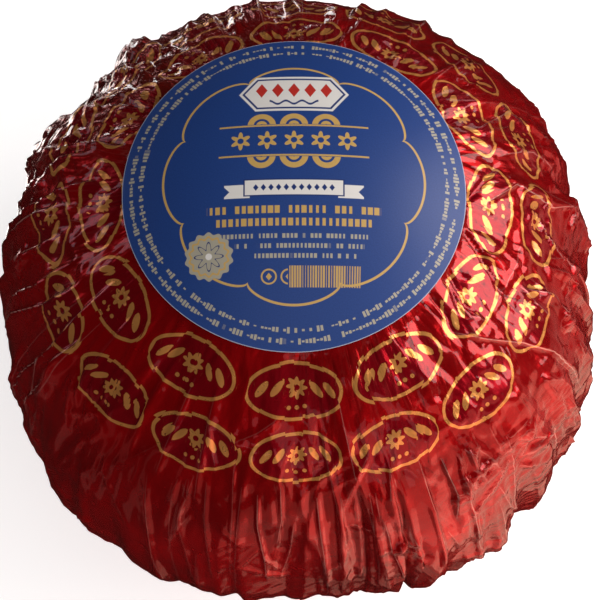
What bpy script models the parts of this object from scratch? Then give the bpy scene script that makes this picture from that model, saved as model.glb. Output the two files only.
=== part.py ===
"""Ball of cheese shut in pleated metallised film, with a round paper label on its crown.

Units are metres and +Z is up. The ball stands at z = 0 on the small flat that its own weight has
pressed into its underside, with its bounding box centred on the origin.

The cheese and the film drawn tight round it are one solid, a turned profile with three things laid
over it: broad swells where the cheese itself is out of round, low lumps, and the pleats of the film.
The pleats start below the label, deepen on the way down and are pressed flat again at the base. The
label is a thin domed disc on the crown, which the pleats don't reach.
"""

import math
import random

import bmesh
import bpy
from mathutils import Vector, noise

# Cheese under its film
GIRTH_RADIUS = 0.0884
CROWN_HEIGHT = 0.0855
BELLY_DEPTH = 0.0810
BASE_RADIUS = 0.0340
FULLNESS = 2.15

# Swells round the girth: compass angle and half width in degrees, and height
SWELLS = (
    (-50.0, 23.0, 0.0042),
    (-88.0, 11.0, -0.0026),
    (-132.0, 24.0, 0.0018),
    (-172.0, 20.0, -0.0024),
    (140.0, 34.0, -0.0022),
    (50.0, 26.0, 0.0022),
    (0.0, 14.0, -0.0026),
)
SWELL_FADE = 1.5

# Low lumps all round
LUMP_HEIGHT = 0.0009
LUMP_SIZE = 0.030

# Pleats of the film: each is a valley, a crest just past it and a lower shoulder
PLEATS = 32
COLUMNS_PER_PLEAT = 3
PLEAT_DEPTH = (0.0014, 0.0030)
PLEAT_START = (math.radians(36.0), math.radians(66.0))
PLEAT_REACH = math.radians(38.0)
PLEAT_SPACING_PLAY = 0.24
CREST_PLACE = (0.16, 0.30)
SHOULDER_PLACE = (0.56, 0.74)
SHOULDER_HEIGHT = (0.30, 0.85)
PLEAT_FADE = math.radians(11.0)
PLEAT_DRIFT = math.radians(5.0)

# Flaps where a pleat stands off the ball: compass angle in degrees and extra depth
FLAPS = (
    (-14.0, 0.0022),
    (-53.0, 0.0016),
    (168.0, 0.0012),
)

# Rings of the mesh, from the crown to the edge of the flat
RINGS = 43

# Label
LABEL_RADIUS = 0.0453
LABEL_THICKNESS = 0.0003
LABEL_GAP = 0.0003
LABEL_COLUMNS = 64
LABEL_RINGS = 4

FILM_SEED = 17


def smooth_step(value):
    """Rise from 0 to 1 as the value goes from 0 to 1, level at both ends."""
    value = min(max(value, 0.0), 1.0)
    return value * value * (3.0 - 2.0 * value)


def profile(polar):
    """Radius and height of the plain ball at a polar angle from the crown, from its widest level."""
    power = 2.0 / FULLNESS
    across = abs(math.sin(polar)) ** power
    along = abs(math.cos(polar)) ** power
    if polar < math.pi / 2:
        return GIRTH_RADIUS * across, CROWN_HEIGHT * along
    return GIRTH_RADIUS * across, -BELLY_DEPTH * along


def profile_normal(polar):
    """Outward direction of the profile, as its radial and upward parts."""
    step = 0.002
    radius_before, height_before = profile(max(polar - step, 0.0))
    radius_after, height_after = profile(polar + step)
    run = radius_after - radius_before
    drop = height_before - height_after
    length = math.hypot(run, drop)
    return drop / length, run / length


def base_polar():
    """Polar angle at which the underside meets its flat."""
    share = (BASE_RADIUS / GIRTH_RADIUS) ** (FULLNESS / 2.0)
    return math.pi - math.asin(share)


def polar_at_radius(radius):
    """Polar angle on the crown at which the plain ball has a given radius."""
    return math.asin((radius / GIRTH_RADIUS) ** (FULLNESS / 2.0))


def turn_between(angle, other):
    """Signed turn from one compass angle to another, within half a turn."""
    return (angle - other + math.pi) % math.tau - math.pi


def swell(azimuth, polar):
    """How far the cheese is out of round here."""
    height = 0.0
    for centre, half_width, peak in SWELLS:
        turn = turn_between(azimuth, math.radians(centre)) / math.radians(half_width)
        height += peak * math.exp(-turn * turn)
    return height * math.sin(polar) ** SWELL_FADE


def lump(azimuth, polar):
    """Low unevenness of the ball, none on the crown where the label lies."""
    radius, height = profile(polar)
    place = Vector((radius * math.cos(azimuth), radius * math.sin(azimuth), height)) / LUMP_SIZE
    return LUMP_HEIGHT * noise.noise(place) * smooth_step((polar - PLEAT_START[0]) / PLEAT_REACH)


class Pleat:
    """One fold of the film, running down the ball from its start to the base."""

    def __init__(self, index, dice):
        cell = math.tau / PLEATS
        self.valley = (index + dice.uniform(-PLEAT_SPACING_PLAY, PLEAT_SPACING_PLAY)) * cell
        self.start = dice.uniform(*PLEAT_START)
        self.depth = dice.uniform(*PLEAT_DEPTH)
        self.leans_back = dice.random() < 0.4
        self.crest_place = dice.uniform(*CREST_PLACE)
        self.shoulder_place = dice.uniform(*SHOULDER_PLACE)
        self.shoulder_height = dice.uniform(*SHOULDER_HEIGHT)
        for centre, extra in FLAPS:
            if abs(turn_between(self.valley, math.radians(centre))) < cell / 2:
                self.depth += extra

    def columns(self, next_valley):
        """Compass angle and share of the depth of each column, up to the next pleat's valley."""
        width = (next_valley - self.valley) % math.tau
        places = ((0.0, 0.0), (self.crest_place, 1.0), (self.shoulder_place, self.shoulder_height))
        if self.leans_back:
            places = (
                (0.0, 0.0),
                (1.0 - self.shoulder_place, self.shoulder_height),
                (1.0 - self.crest_place, 1.0),
            )
        return [(self.valley + place * width, height) for place, height in places]

    def rise(self, polar):
        """Depth of the fold at a polar angle: it grows on the way down and is flat at the base."""
        growth = smooth_step((polar - self.start) / PLEAT_REACH)
        fade = smooth_step((base_polar() - polar) / PLEAT_FADE)
        return self.depth * growth * fade


def drift(azimuth, polar):
    """Sideways wander of the pleats on their way down."""
    wander = noise.noise(Vector((1.7 * math.cos(azimuth), 1.7 * math.sin(azimuth), 0.9 * polar)))
    return PLEAT_DRIFT * wander * smooth_step(polar / math.pi)


def surface_point(azimuth, polar, lift):
    """Point of the ball, lifted off the plain profile along its normal."""
    radius, height = profile(polar)
    out, up = profile_normal(polar)
    radius += swell(azimuth, polar) + out * lift
    height += up * lift
    return Vector((radius * math.cos(azimuth), radius * math.sin(azimuth), height))


def film_rings():
    """Rings of points of the wrapped ball, from just below the crown to the edge of the flat."""
    dice = random.Random(FILM_SEED)
    pleats = [Pleat(index, dice) for index in range(PLEATS)]
    columns = []
    for index, pleat in enumerate(pleats):
        next_valley = pleats[(index + 1) % PLEATS].valley
        columns += [(pleat, azimuth, share) for azimuth, share in pleat.columns(next_valley)]
    rings = []
    for step in range(1, RINGS + 1):
        polar = base_polar() * step / RINGS
        ring = []
        for pleat, start, share in columns:
            azimuth = start + drift(start, polar)
            lift = share * pleat.rise(polar) + lump(azimuth, polar)
            ring.append(surface_point(azimuth, polar, lift))
        rings.append(ring)
    level = min(point.z for point in rings[-1])
    for point in rings[-1]:
        point.z = level
    return rings


def standing_offset(rings):
    """Move that stands the ball on z = 0 with its bounding box centred on the origin."""
    points = [point for ring in rings for point in ring]
    lowest = [min(point[axis] for point in points) for axis in range(3)]
    highest = [max(point[axis] for point in points) for axis in range(3)]
    return Vector((-(lowest[0] + highest[0]) / 2, -(lowest[1] + highest[1]) / 2, -lowest[2]))


def bridge(mesh, upper, lower):
    """Close the band between two rings of vertices, faces outwards."""
    count = len(upper)
    for index in range(count):
        following = (index + 1) % count
        mesh.faces.new((upper[index], lower[index], lower[following], upper[following]))


def fan(mesh, centre, ring):
    """Close a ring with triangles round a centre vertex, seen from above."""
    count = len(ring)
    for index in range(count):
        mesh.faces.new((centre, ring[index], ring[(index + 1) % count]))


def add_object(name, mesh, material):
    """Turn a bmesh into a named, smoothly shaded object with its material."""
    bmesh.ops.recalc_face_normals(mesh, faces=mesh.faces)
    data = bpy.data.meshes.new(name)
    mesh.to_mesh(data)
    mesh.free()
    data.shade_smooth()
    data.set_sharp_from_angle(angle=math.radians(24.0))
    data.materials.append(material)
    thing = bpy.data.objects.new(name, data)
    bpy.context.collection.objects.link(thing)
    return thing


def make_material(name, colour, roughness, metallic):
    """Plain Principled material."""
    material = bpy.data.materials.new(name)
    material.use_nodes = True
    shader = material.node_tree.nodes["Principled BSDF"]
    shader.inputs["Base Color"].default_value = (*colour, 1.0)
    shader.inputs["Roughness"].default_value = roughness
    shader.inputs["Metallic"].default_value = metallic
    return material


def build_wrapped_ball(rings, offset):
    """The cheese in its film: crown, pleated sides and the flat underneath."""
    mesh = bmesh.new()
    crown = mesh.verts.new(surface_point(0.0, 0.0, 0.0) + offset)
    courses = [[mesh.verts.new(point + offset) for point in ring] for ring in rings]
    fan(mesh, crown, courses[0])
    for upper, lower in zip(courses, courses[1:]):
        bridge(mesh, upper, lower)
    mesh.faces.new(reversed(courses[-1]))
    return add_object("wrapped_ball", mesh, make_material("red_film", (0.27, 0.008, 0.016), 0.28, 0.85))


def label_side(mesh, lift, offset):
    """Centre vertex and rings of one side of the label, lifted off the film."""
    centre = mesh.verts.new(surface_point(0.0, 0.0, lift) + offset)
    courses = []
    for step in range(1, LABEL_RINGS + 1):
        polar = polar_at_radius(LABEL_RADIUS * step / LABEL_RINGS)
        ring = []
        for column in range(LABEL_COLUMNS):
            azimuth = math.tau * column / LABEL_COLUMNS
            ring.append(mesh.verts.new(surface_point(azimuth, polar, lift) + offset))
        courses.append(ring)
    return centre, courses


def build_label(offset):
    """The round paper label, bent over the crown and lying just clear of the film."""
    mesh = bmesh.new()
    top_centre, top = label_side(mesh, LABEL_GAP + LABEL_THICKNESS, offset)
    under_centre, under = label_side(mesh, LABEL_GAP, offset)
    fan(mesh, top_centre, top[0])
    fan(mesh, under_centre, under[0][::-1])
    for side in (top, under):
        for upper, lower in zip(side, side[1:]):
            bridge(mesh, upper, lower)
    bridge(mesh, top[-1], under[-1])
    return add_object("label", mesh, make_material("blue_paper", (0.022, 0.058, 0.205), 0.42, 0.0))


def clear_scene():
    """Remove whatever the open file holds."""
    for thing in list(bpy.data.objects):
        bpy.data.objects.remove(thing, do_unlink=True)


def main():
    """Build both pieces."""
    clear_scene()
    rings = film_rings()
    offset = standing_offset(rings)
    build_wrapped_ball(rings, offset)
    build_label(offset)


if __name__ == "__main__":
    main()
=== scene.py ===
"""Looks of a ball of cheese shut in creased red film, with a round printed label on its crown.

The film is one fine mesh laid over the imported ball: its pleats come from the ball itself, and nets of
flat facets, long folds and puckers are raised on it. The print on the film and on the label is drawn
by shader nodes from the pieces' own flat-sheet coordinates, in millimetres.
"""

import logging
import math
from dataclasses import dataclass, field
from enum import Enum
from typing import Sequence

import bpy
import numpy as np
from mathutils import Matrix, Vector, geometry
from mathutils.bvhtree import BVHTree

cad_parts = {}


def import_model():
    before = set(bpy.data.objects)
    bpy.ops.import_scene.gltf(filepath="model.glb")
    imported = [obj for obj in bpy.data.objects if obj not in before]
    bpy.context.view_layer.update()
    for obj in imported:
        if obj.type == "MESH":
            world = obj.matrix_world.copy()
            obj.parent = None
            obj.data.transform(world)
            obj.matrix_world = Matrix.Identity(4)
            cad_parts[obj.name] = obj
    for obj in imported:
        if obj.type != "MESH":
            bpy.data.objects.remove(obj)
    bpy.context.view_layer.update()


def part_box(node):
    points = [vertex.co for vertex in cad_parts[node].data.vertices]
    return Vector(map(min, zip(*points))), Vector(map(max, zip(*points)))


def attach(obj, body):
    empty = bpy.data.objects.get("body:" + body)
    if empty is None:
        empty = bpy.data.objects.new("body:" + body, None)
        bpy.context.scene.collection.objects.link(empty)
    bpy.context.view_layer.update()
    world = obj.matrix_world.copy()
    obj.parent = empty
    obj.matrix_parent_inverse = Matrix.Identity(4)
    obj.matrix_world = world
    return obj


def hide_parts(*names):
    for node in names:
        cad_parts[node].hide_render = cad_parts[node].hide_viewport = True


LOG = logging.getLogger("cheese_ball")
MM = 0.001
BODY = "root"
GRAIN_GROUP = "surface_grain"
# A crest lower than this is blunt, and one this much higher is as sharp as any, in millimetres.
BLUNT_HEIGHT = 0.35
SHARP_RISE = 1.2
# The ball's middle lies this far under its crown, and its radius is about this, in metres.
CROWN_OVER_MIDDLE = 0.0858
BALL_RADIUS = 0.0893


def deselect_all() -> None:
    """Leave nothing selected, so that an operator acts on the new piece alone."""
    bpy.ops.object.select_all(action="DESELECT")


def smooth_step(value: np.ndarray) -> np.ndarray:
    """Rise from 0 to 1 as the value goes from 0 to 1, level at both ends."""
    value = np.clip(value, 0.0, 1.0)
    return value * value * (3.0 - 2.0 * value)


def turn_between(angle: np.ndarray, other: np.ndarray) -> np.ndarray:
    """Signed turn from one compass angle to another, in radians, within half a turn."""
    return (angle - other + math.pi) % math.tau - math.pi


def blur(grid: np.ndarray, rings: float, columns: float) -> np.ndarray:
    """Smooth a grid that closes round on itself along its columns.

    Args:
        grid: Values by ring and column.
        rings: Spread down the rings, in steps.
        columns: Spread round the columns, in steps.

    Returns:
        The smoothed grid.
    """
    result = grid
    for axis, spread in ((0, rings), (1, columns)):
        if spread <= 0:
            continue
        reach = int(math.ceil(3 * spread))
        offsets = np.arange(-reach, reach + 1)
        weights = np.exp(-0.5 * (offsets / spread) ** 2)
        weights /= weights.sum()
        total = np.zeros_like(result)
        for offset, weight in zip(offsets, weights):
            if axis == 1:
                total += weight * np.roll(result, offset, axis=1)
            else:
                rows = np.clip(np.arange(len(result)) - offset, 0, len(result) - 1)
                total += weight * result[rows]
        result = total
    return result


# ---------------------------------------------------------------------------------------------
# Shader fields
# ---------------------------------------------------------------------------------------------


class Field:
    """A number that changes over the surface, kept as a socket of a node tree."""

    def __init__(self, tree: bpy.types.NodeTree, socket: bpy.types.NodeSocket) -> None:
        """Wrap a socket of a tree."""
        self.tree = tree
        self.socket = socket

    def math(self, operation: str, *others: "Field | float", clamp: bool = False) -> "Field":
        """Feed this number and others through a Math node.

        Args:
            operation: Name of the Math node's operation.
            others: The second and third inputs.
            clamp: Whether the result is held between 0 and 1.

        Returns:
            The node's result.
        """
        node = self.tree.nodes.new("ShaderNodeMath")
        node.operation = operation
        node.use_clamp = clamp
        self.tree.links.new(self.socket, node.inputs[0])
        for index, other in enumerate(others, start=1):
            if isinstance(other, Field):
                self.tree.links.new(other.socket, node.inputs[index])
            else:
                node.inputs[index].default_value = other
        return Field(self.tree, node.outputs[0])

    def __add__(self, other: "Field | float") -> "Field":
        """Sum."""
        return self.math("ADD", other)

    def __sub__(self, other: "Field | float") -> "Field":
        """Difference."""
        return self.math("SUBTRACT", other)

    def __mul__(self, other: "Field | float") -> "Field":
        """Product."""
        return self.math("MULTIPLY", other)

    def __truediv__(self, other: "Field | float") -> "Field":
        """Quotient."""
        return self.math("DIVIDE", other)

    def size(self) -> "Field":
        """Value without its sign."""
        return self.math("ABSOLUTE")

    def least(self, other: "Field | float") -> "Field":
        """The smaller of two."""
        return self.math("MINIMUM", other)

    def most(self, other: "Field | float") -> "Field":
        """The larger of two."""
        return self.math("MAXIMUM", other)

    def root(self) -> "Field":
        """Square root."""
        return self.math("SQRT")

    def floor(self) -> "Field":
        """Whole number at or below."""
        return self.math("FLOOR")

    def fold(self, period: float) -> "Field":
        """Distance from the nearest whole multiple of a period, with its sign."""
        return (self + period / 2).math("FLOORED_MODULO", period) - period / 2

    def ink(self, soft: float = 0.12) -> "Field":
        """Coverage of a shape whose edge is where this distance is zero."""
        return (self * (-1.0 / soft)).math("ADD", 0.5, clamp=True)


def length(across: Field, along: Field) -> Field:
    """Distance from the origin of two coordinates."""
    return (across * across + along * along).root()


def box_shape(across: Field, along: Field, half_width: float, half_height: float) -> Field:
    """Distance outside a rectangle round the origin."""
    return (across.size() - half_width).most(along.size() - half_height)


def lozenge_shape(across: Field, along: Field, half_width: float, half_height: float) -> Field:
    """Distance outside a lozenge round the origin.

    Args:
        across: Distance to the right of its middle.
        along: Distance upwards.
        half_width: Half its width.
        half_height: Half its height.

    Returns:
        The distance, below zero inside.
    """
    diagonal = math.hypot(half_width, half_height)
    reach = across.size() * (half_height / diagonal) + along.size() * (half_width / diagonal)
    return reach - half_width * half_height / diagonal


def oval_shape(across: Field, along: Field, half_width: float, half_height: float) -> Field:
    """Distance outside an ellipse round the origin, true near its line.

    Args:
        across: Distance to the right of its middle.
        along: Distance upwards.
        half_width: Half its width.
        half_height: Half its height.

    Returns:
        The distance, below zero inside.
    """
    share = length(across * (1.0 / half_width), along * (1.0 / half_height))
    slope = length(across * (1.0 / half_width**2), along * (1.0 / half_height**2))
    return (share - 1.0) * share / slope.most(1e-4)


def flower_shape(across: Field, along: Field, radius: float, depth: float, petals: int) -> Field:
    """Distance outside a flower of round petals, near enough to true at its line."""
    swing = (across.math("ARCTAN2", along) * float(petals)).math("COSINE")
    return length(across, along) - swing * depth - radius


def scatter_value(step: Field, seed: float) -> Field:
    """Random value from 0 to 1, one for each whole number.

    Args:
        step: The whole number.
        seed: Picks one row of random values.

    Returns:
        The value.
    """
    node = step.tree.nodes.new("ShaderNodeTexWhiteNoise")
    node.noise_dimensions = "2D"
    step.tree.links.new(joined(step, seed, 0.0), node.inputs["Vector"])
    return Field(step.tree, node.outputs["Value"])


def joined(first: Field, *others: Field | float) -> bpy.types.NodeSocket:
    """Vector made of three numbers.

    Args:
        first: Its first part.
        others: Its second and third parts.

    Returns:
        The vector's socket.
    """
    node = first.tree.nodes.new("ShaderNodeCombineXYZ")
    for slot, part in enumerate((first, *others)):
        if isinstance(part, Field):
            first.tree.links.new(part.socket, node.inputs[slot])
        else:
            node.inputs[slot].default_value = part
    return node.outputs[0]


def grain_group() -> bpy.types.NodeTree:
    """Group of soft noise that the film and the label share.

    Returns:
        The group, built the first time that it is asked for.
    """
    group = bpy.data.node_groups.get(GRAIN_GROUP)
    if group is not None:
        return group
    group = bpy.data.node_groups.new(GRAIN_GROUP, "ShaderNodeTree")
    for name, kind in (("Place", "Vector"), ("Scale", "Float"), ("Detail", "Float")):
        group.interface.new_socket(name=name, in_out="INPUT", socket_type=f"NodeSocket{kind}")
    group.interface.new_socket(name="Grain", in_out="OUTPUT", socket_type="NodeSocketFloat")
    start = group.nodes.new("NodeGroupInput")
    noise = group.nodes.new("ShaderNodeTexNoise")
    end = group.nodes.new("NodeGroupOutput")
    for name, slot in (("Place", "Vector"), ("Scale", "Scale"), ("Detail", "Detail")):
        group.links.new(start.outputs[name], noise.inputs[slot])
    group.links.new(noise.outputs[0], end.inputs["Grain"])
    return group


def noise_value(
    tree: bpy.types.NodeTree, place: bpy.types.NodeSocket, scale: float, detail: float = 2.0
) -> Field:
    """Soft noise from about 0.3 to 0.7 over a place.

    Args:
        tree: Tree that reads it.
        place: Where it is read.
        scale: Waves to a unit of the place.
        detail: How many finer waves are laid on it.

    Returns:
        The noise.
    """
    node = tree.nodes.new("ShaderNodeGroup")
    node.node_tree = grain_group()
    node.inputs["Scale"].default_value = scale
    node.inputs["Detail"].default_value = detail
    tree.links.new(place, node.inputs["Place"])
    return Field(tree, node.outputs["Grain"])


def border_value(tree: bpy.types.NodeTree, place: bpy.types.NodeSocket, scale: float) -> Field:
    """Distance inside the straight borders of a cell pattern, like the height of hipped roofs.

    Args:
        tree: Tree that reads it.
        place: Where it is read.
        scale: Cells to a millimetre.

    Returns:
        The distance, in cells.
    """
    node = tree.nodes.new("ShaderNodeTexVoronoi")
    node.feature = "DISTANCE_TO_EDGE"
    node.inputs["Scale"].default_value = scale
    tree.links.new(place, node.inputs["Vector"])
    return Field(tree, node.outputs["Distance"])


def cell_values(
    tree: bpy.types.NodeTree, place: bpy.types.NodeSocket, scale: float
) -> tuple[Field, Field]:
    """Two random values from 0 to 1 for each cell of a pattern.

    Args:
        tree: Tree that reads them.
        place: Where they are read.
        scale: Cells to a millimetre.

    Returns:
        The two values.
    """
    node = tree.nodes.new("ShaderNodeTexVoronoi")
    node.feature = "F1"
    node.inputs["Scale"].default_value = scale
    tree.links.new(place, node.inputs["Vector"])
    split = tree.nodes.new("ShaderNodeSeparateColor")
    tree.links.new(node.outputs["Color"], split.inputs[0])
    return Field(tree, split.outputs[0]), Field(tree, split.outputs[1])


def attribute_value(tree: bpy.types.NodeTree, name: str) -> Field:
    """Value kept at the points of a piece.

    Args:
        tree: Tree that reads it.
        name: Name of the attribute.

    Returns:
        The value.
    """
    node = tree.nodes.new("ShaderNodeAttribute")
    node.attribute_name = name
    return Field(tree, node.outputs["Fac"])


def sheet_coordinates(tree: bpy.types.NodeTree, uv_map: str, span: float) -> tuple[Field, Field]:
    """Flat-sheet coordinates of a piece, in millimetres from the crown.

    Args:
        tree: Tree that reads them.
        uv_map: Name of the UV map, whose middle is the crown.
        span: Width of the sheet that the map covers, in millimetres.

    Returns:
        The distance to the right and the distance upwards on the sheet.
    """
    node = tree.nodes.new("ShaderNodeUVMap")
    node.uv_map = uv_map
    split = tree.nodes.new("ShaderNodeSeparateXYZ")
    tree.links.new(node.outputs[0], split.inputs[0])
    return tuple((Field(tree, split.outputs[axis]) - 0.5) * span for axis in (0, 1))


def mix_colour(
    tree: bpy.types.NodeTree,
    base: bpy.types.NodeSocket | Sequence[float],
    over: bpy.types.NodeSocket | Sequence[float],
    share: Field,
) -> bpy.types.NodeSocket:
    """Lay one colour over another where the share is above zero.

    Args:
        tree: Tree that mixes them.
        base: The colour underneath.
        over: The colour on top.
        share: How much of the top colour is seen, from 0 to 1.

    Returns:
        The mixed colour.
    """
    node = tree.nodes.new("ShaderNodeMix")
    node.data_type = "RGBA"
    tree.links.new(share.socket, node.inputs[0])
    for slot, colour in ((6, base), (7, over)):
        if isinstance(colour, bpy.types.NodeSocket):
            tree.links.new(colour, node.inputs[slot])
        else:
            node.inputs[slot].default_value = (*colour, 1.0)
    return node.outputs[2]


# ---------------------------------------------------------------------------------------------
# Film
# ---------------------------------------------------------------------------------------------


Window = tuple[np.ndarray, np.ndarray]
Crest = tuple[np.ndarray, np.ndarray]


def sharpness(height: float) -> float:
    """How sharp a crest of a height in millimetres is, from -1 for a deep groove to 1."""
    return math.copysign(min(max(abs(height) - BLUNT_HEIGHT, 0.0) / SHARP_RISE, 1.0), height)


@dataclass(frozen=True)
class Lay:
    """Places of a grid laid over the ball.

    Attributes:
        azimuth: Compass angle of each place, in radians.
        arc: Its distance from the crown over the ball, in millimetres.
        girth: Its distance from the upright axis, the same all round, in millimetres.
    """

    azimuth: np.ndarray
    arc: np.ndarray
    girth: np.ndarray

    def across(self, turn: float | np.ndarray) -> np.ndarray:
        """Distance round the ball from a compass angle in degrees, in millimetres."""
        return turn_between(self.azimuth, np.radians(turn)) * self.girth

    def girth_at(self, arc: float) -> float:
        """Distance from the axis at one distance from the crown, in millimetres."""
        return float(np.interp(arc, self.arc[:, 0], self.girth[:, 0]))

    def window(self, turns: Sequence[float], top: float, foot: float, reach: float) -> Window:
        """Rings and columns near a stretch of the ball.

        Args:
            turns: Compass angles that it holds, in degrees, none far from the first.
            top: Least distance from the crown, in millimetres.
            foot: Greatest distance from the crown.
            reach: Distance to either side of the angles, in millimetres.

        Returns:
            Indices that cut the stretch out of a grid.
        """
        rings = np.flatnonzero((self.arc[:, 0] >= top) & (self.arc[:, 0] <= foot))
        narrowest = max(self.girth[rings, 0].min(), 1.0) if len(rings) else 1.0
        offsets = [(turn - turns[0] + 180) % 360 - 180 for turn in turns]
        low, high = math.radians(min(offsets)), math.radians(max(offsets))
        away = turn_between(self.azimuth[0], math.radians(turns[0]))
        wide = reach / narrowest
        return np.ix_(rings, np.flatnonzero((away >= low - wide) & (away <= high + wide)))

    def cut(self, window: Window) -> "Lay":
        """The part of the grid in a window."""
        return Lay(self.azimuth[window], self.arc[window], self.girth[window])


@dataclass(frozen=True)
class FacetNet:
    """Net of flat facets with sharp folds between them, laid round and down the ball.

    Attributes:
        around: Facet corners round the ball.
        down: Facet corners from the crown to the base.
        height: Most that a corner rises or sinks, in millimetres.
        seed: Seed of the corners' places and heights.
        local: How far the net follows the crumpling of each side, from 0 to 1.
    """

    around: int
    down: int
    height: float
    seed: int
    local: float

    def relief(self, lay: Lay) -> np.ndarray:
        """Height of the net at each place.

        Args:
            lay: Places of the film's grid.

        Returns:
            The height, in millimetres.
        """
        dice = np.random.default_rng(self.seed)
        shift = dice.uniform(-0.45, 0.45, (self.down + 1, self.around, 2))
        rise = dice.uniform(-1.0, 1.0, (self.down + 1, self.around))
        margin = 3
        corners, heights = [], []
        for row in range(self.down + 1):
            for column in range(-margin, self.around + margin):
                play = shift[row, column % self.around]
                corners.append((column + 0.5 * (row % 2) + play[0], row + play[1]))
                heights.append(rise[row, column % self.around])
        flat = geometry.delaunay_2d_cdt([Vector(corner) for corner in corners], [], [], 0, 1e-7)
        origin = [sources[0] for sources in flat[3]]
        points = [(point.x, point.y, heights[source]) for point, source in zip(flat[0], origin)]
        tree = BVHTree.FromPolygons(points, flat[2])
        down = Vector((0.0, 0.0, -1.0))
        across = (lay.azimuth.ravel() / math.tau) % 1.0 * self.around
        along = lay.arc.ravel() / lay.arc.max() * self.down
        result = np.zeros(len(across))
        for index, (x, y) in enumerate(zip(across.tolist(), along.tolist())):
            hit = tree.ray_cast(Vector((x, y, 5.0)), down)[0]
            result[index] = hit.z if hit is not None else 0.0
        return result.reshape(lay.arc.shape) * self.height


@dataclass(frozen=True)
class LongFold:
    """Raised line or groove of the film down the ball, with a steeper side.

    Attributes:
        turn: Compass angle at its top, in degrees.
        top: Where it starts, as the distance from the crown over the ball, in millimetres.
        foot: Where it ends, likewise.
        slant: How far it has turned at its foot, in degrees.
        height: Rise of its crest in millimetres, below zero for a groove.
        left: Width of its flank on the side of smaller angles, in millimetres.
        right: Width of its other flank.
        flat: Width of its level top, in millimetres.
    """

    turn: float
    top: float
    foot: float
    slant: float = 0.0
    height: float = 0.6
    left: float = 2.0
    right: float = 4.0
    flat: float = 0.0

    def window(self, lay: Lay) -> Window:
        """The part of the ball that the fold touches."""
        reach = max(self.left, self.right) + self.flat / 2
        return lay.window((self.turn, self.turn + self.slant), self.top, self.foot, reach)

    def _along(self, lay: Lay) -> np.ndarray:
        """Share of the fold's length at each place."""
        return (lay.arc - self.top) / (self.foot - self.top)

    def _across(self, lay: Lay) -> np.ndarray:
        """Distance round the ball from the fold's line, in millimetres."""
        return lay.across(self.turn + self.slant * np.clip(self._along(lay), 0.0, 1.0))

    def _ends(self, lay: Lay) -> np.ndarray:
        """1 along the fold, falling to 0 at both ends."""
        return smooth_step(self._along(lay) / 0.25) * smooth_step((1.0 - self._along(lay)) / 0.3)

    def relief(self, lay: Lay) -> np.ndarray:
        """Height of the fold at each place.

        Args:
            lay: Places of the part of the grid that it touches.

        Returns:
            The height, in millimetres.
        """
        across = self._across(lay)
        beyond = np.abs(across) - self.flat / 2
        flank = np.where(across < 0, self.left, self.right)
        return self.height * np.clip(1.0 - beyond / flank, 0.0, 1.0) * self._ends(lay)

    def crest(self, lay: Lay) -> Crest:
        """Places by the fold's crest line, or by both edges of its level top.

        Args:
            lay: Places of the part of the grid that it touches.

        Returns:
            The distance from the line, above zero on its steeper side, and how sharp it is there.
        """
        across = self._across(lay)
        if self.flat > 0:
            side = np.abs(across) - self.flat / 2
        else:
            side = across if self.right < self.left else -across
        return side, sharpness(self.height) * self._ends(lay)

    def calm(self, lay: Lay) -> np.ndarray:
        """How far a wide level top is pulled flat.

        Args:
            lay: Places of the part of the grid that it touches.

        Returns:
            The share at each place, from 0 to 1.
        """
        along = self._along(lay)
        inside = np.clip((self.flat / 2 - np.abs(self._across(lay))) / 0.6 + 1.0, 0.0, 1.0)
        return inside * smooth_step(along / 0.2) * smooth_step((1.0 - along) / 0.1)


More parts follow.
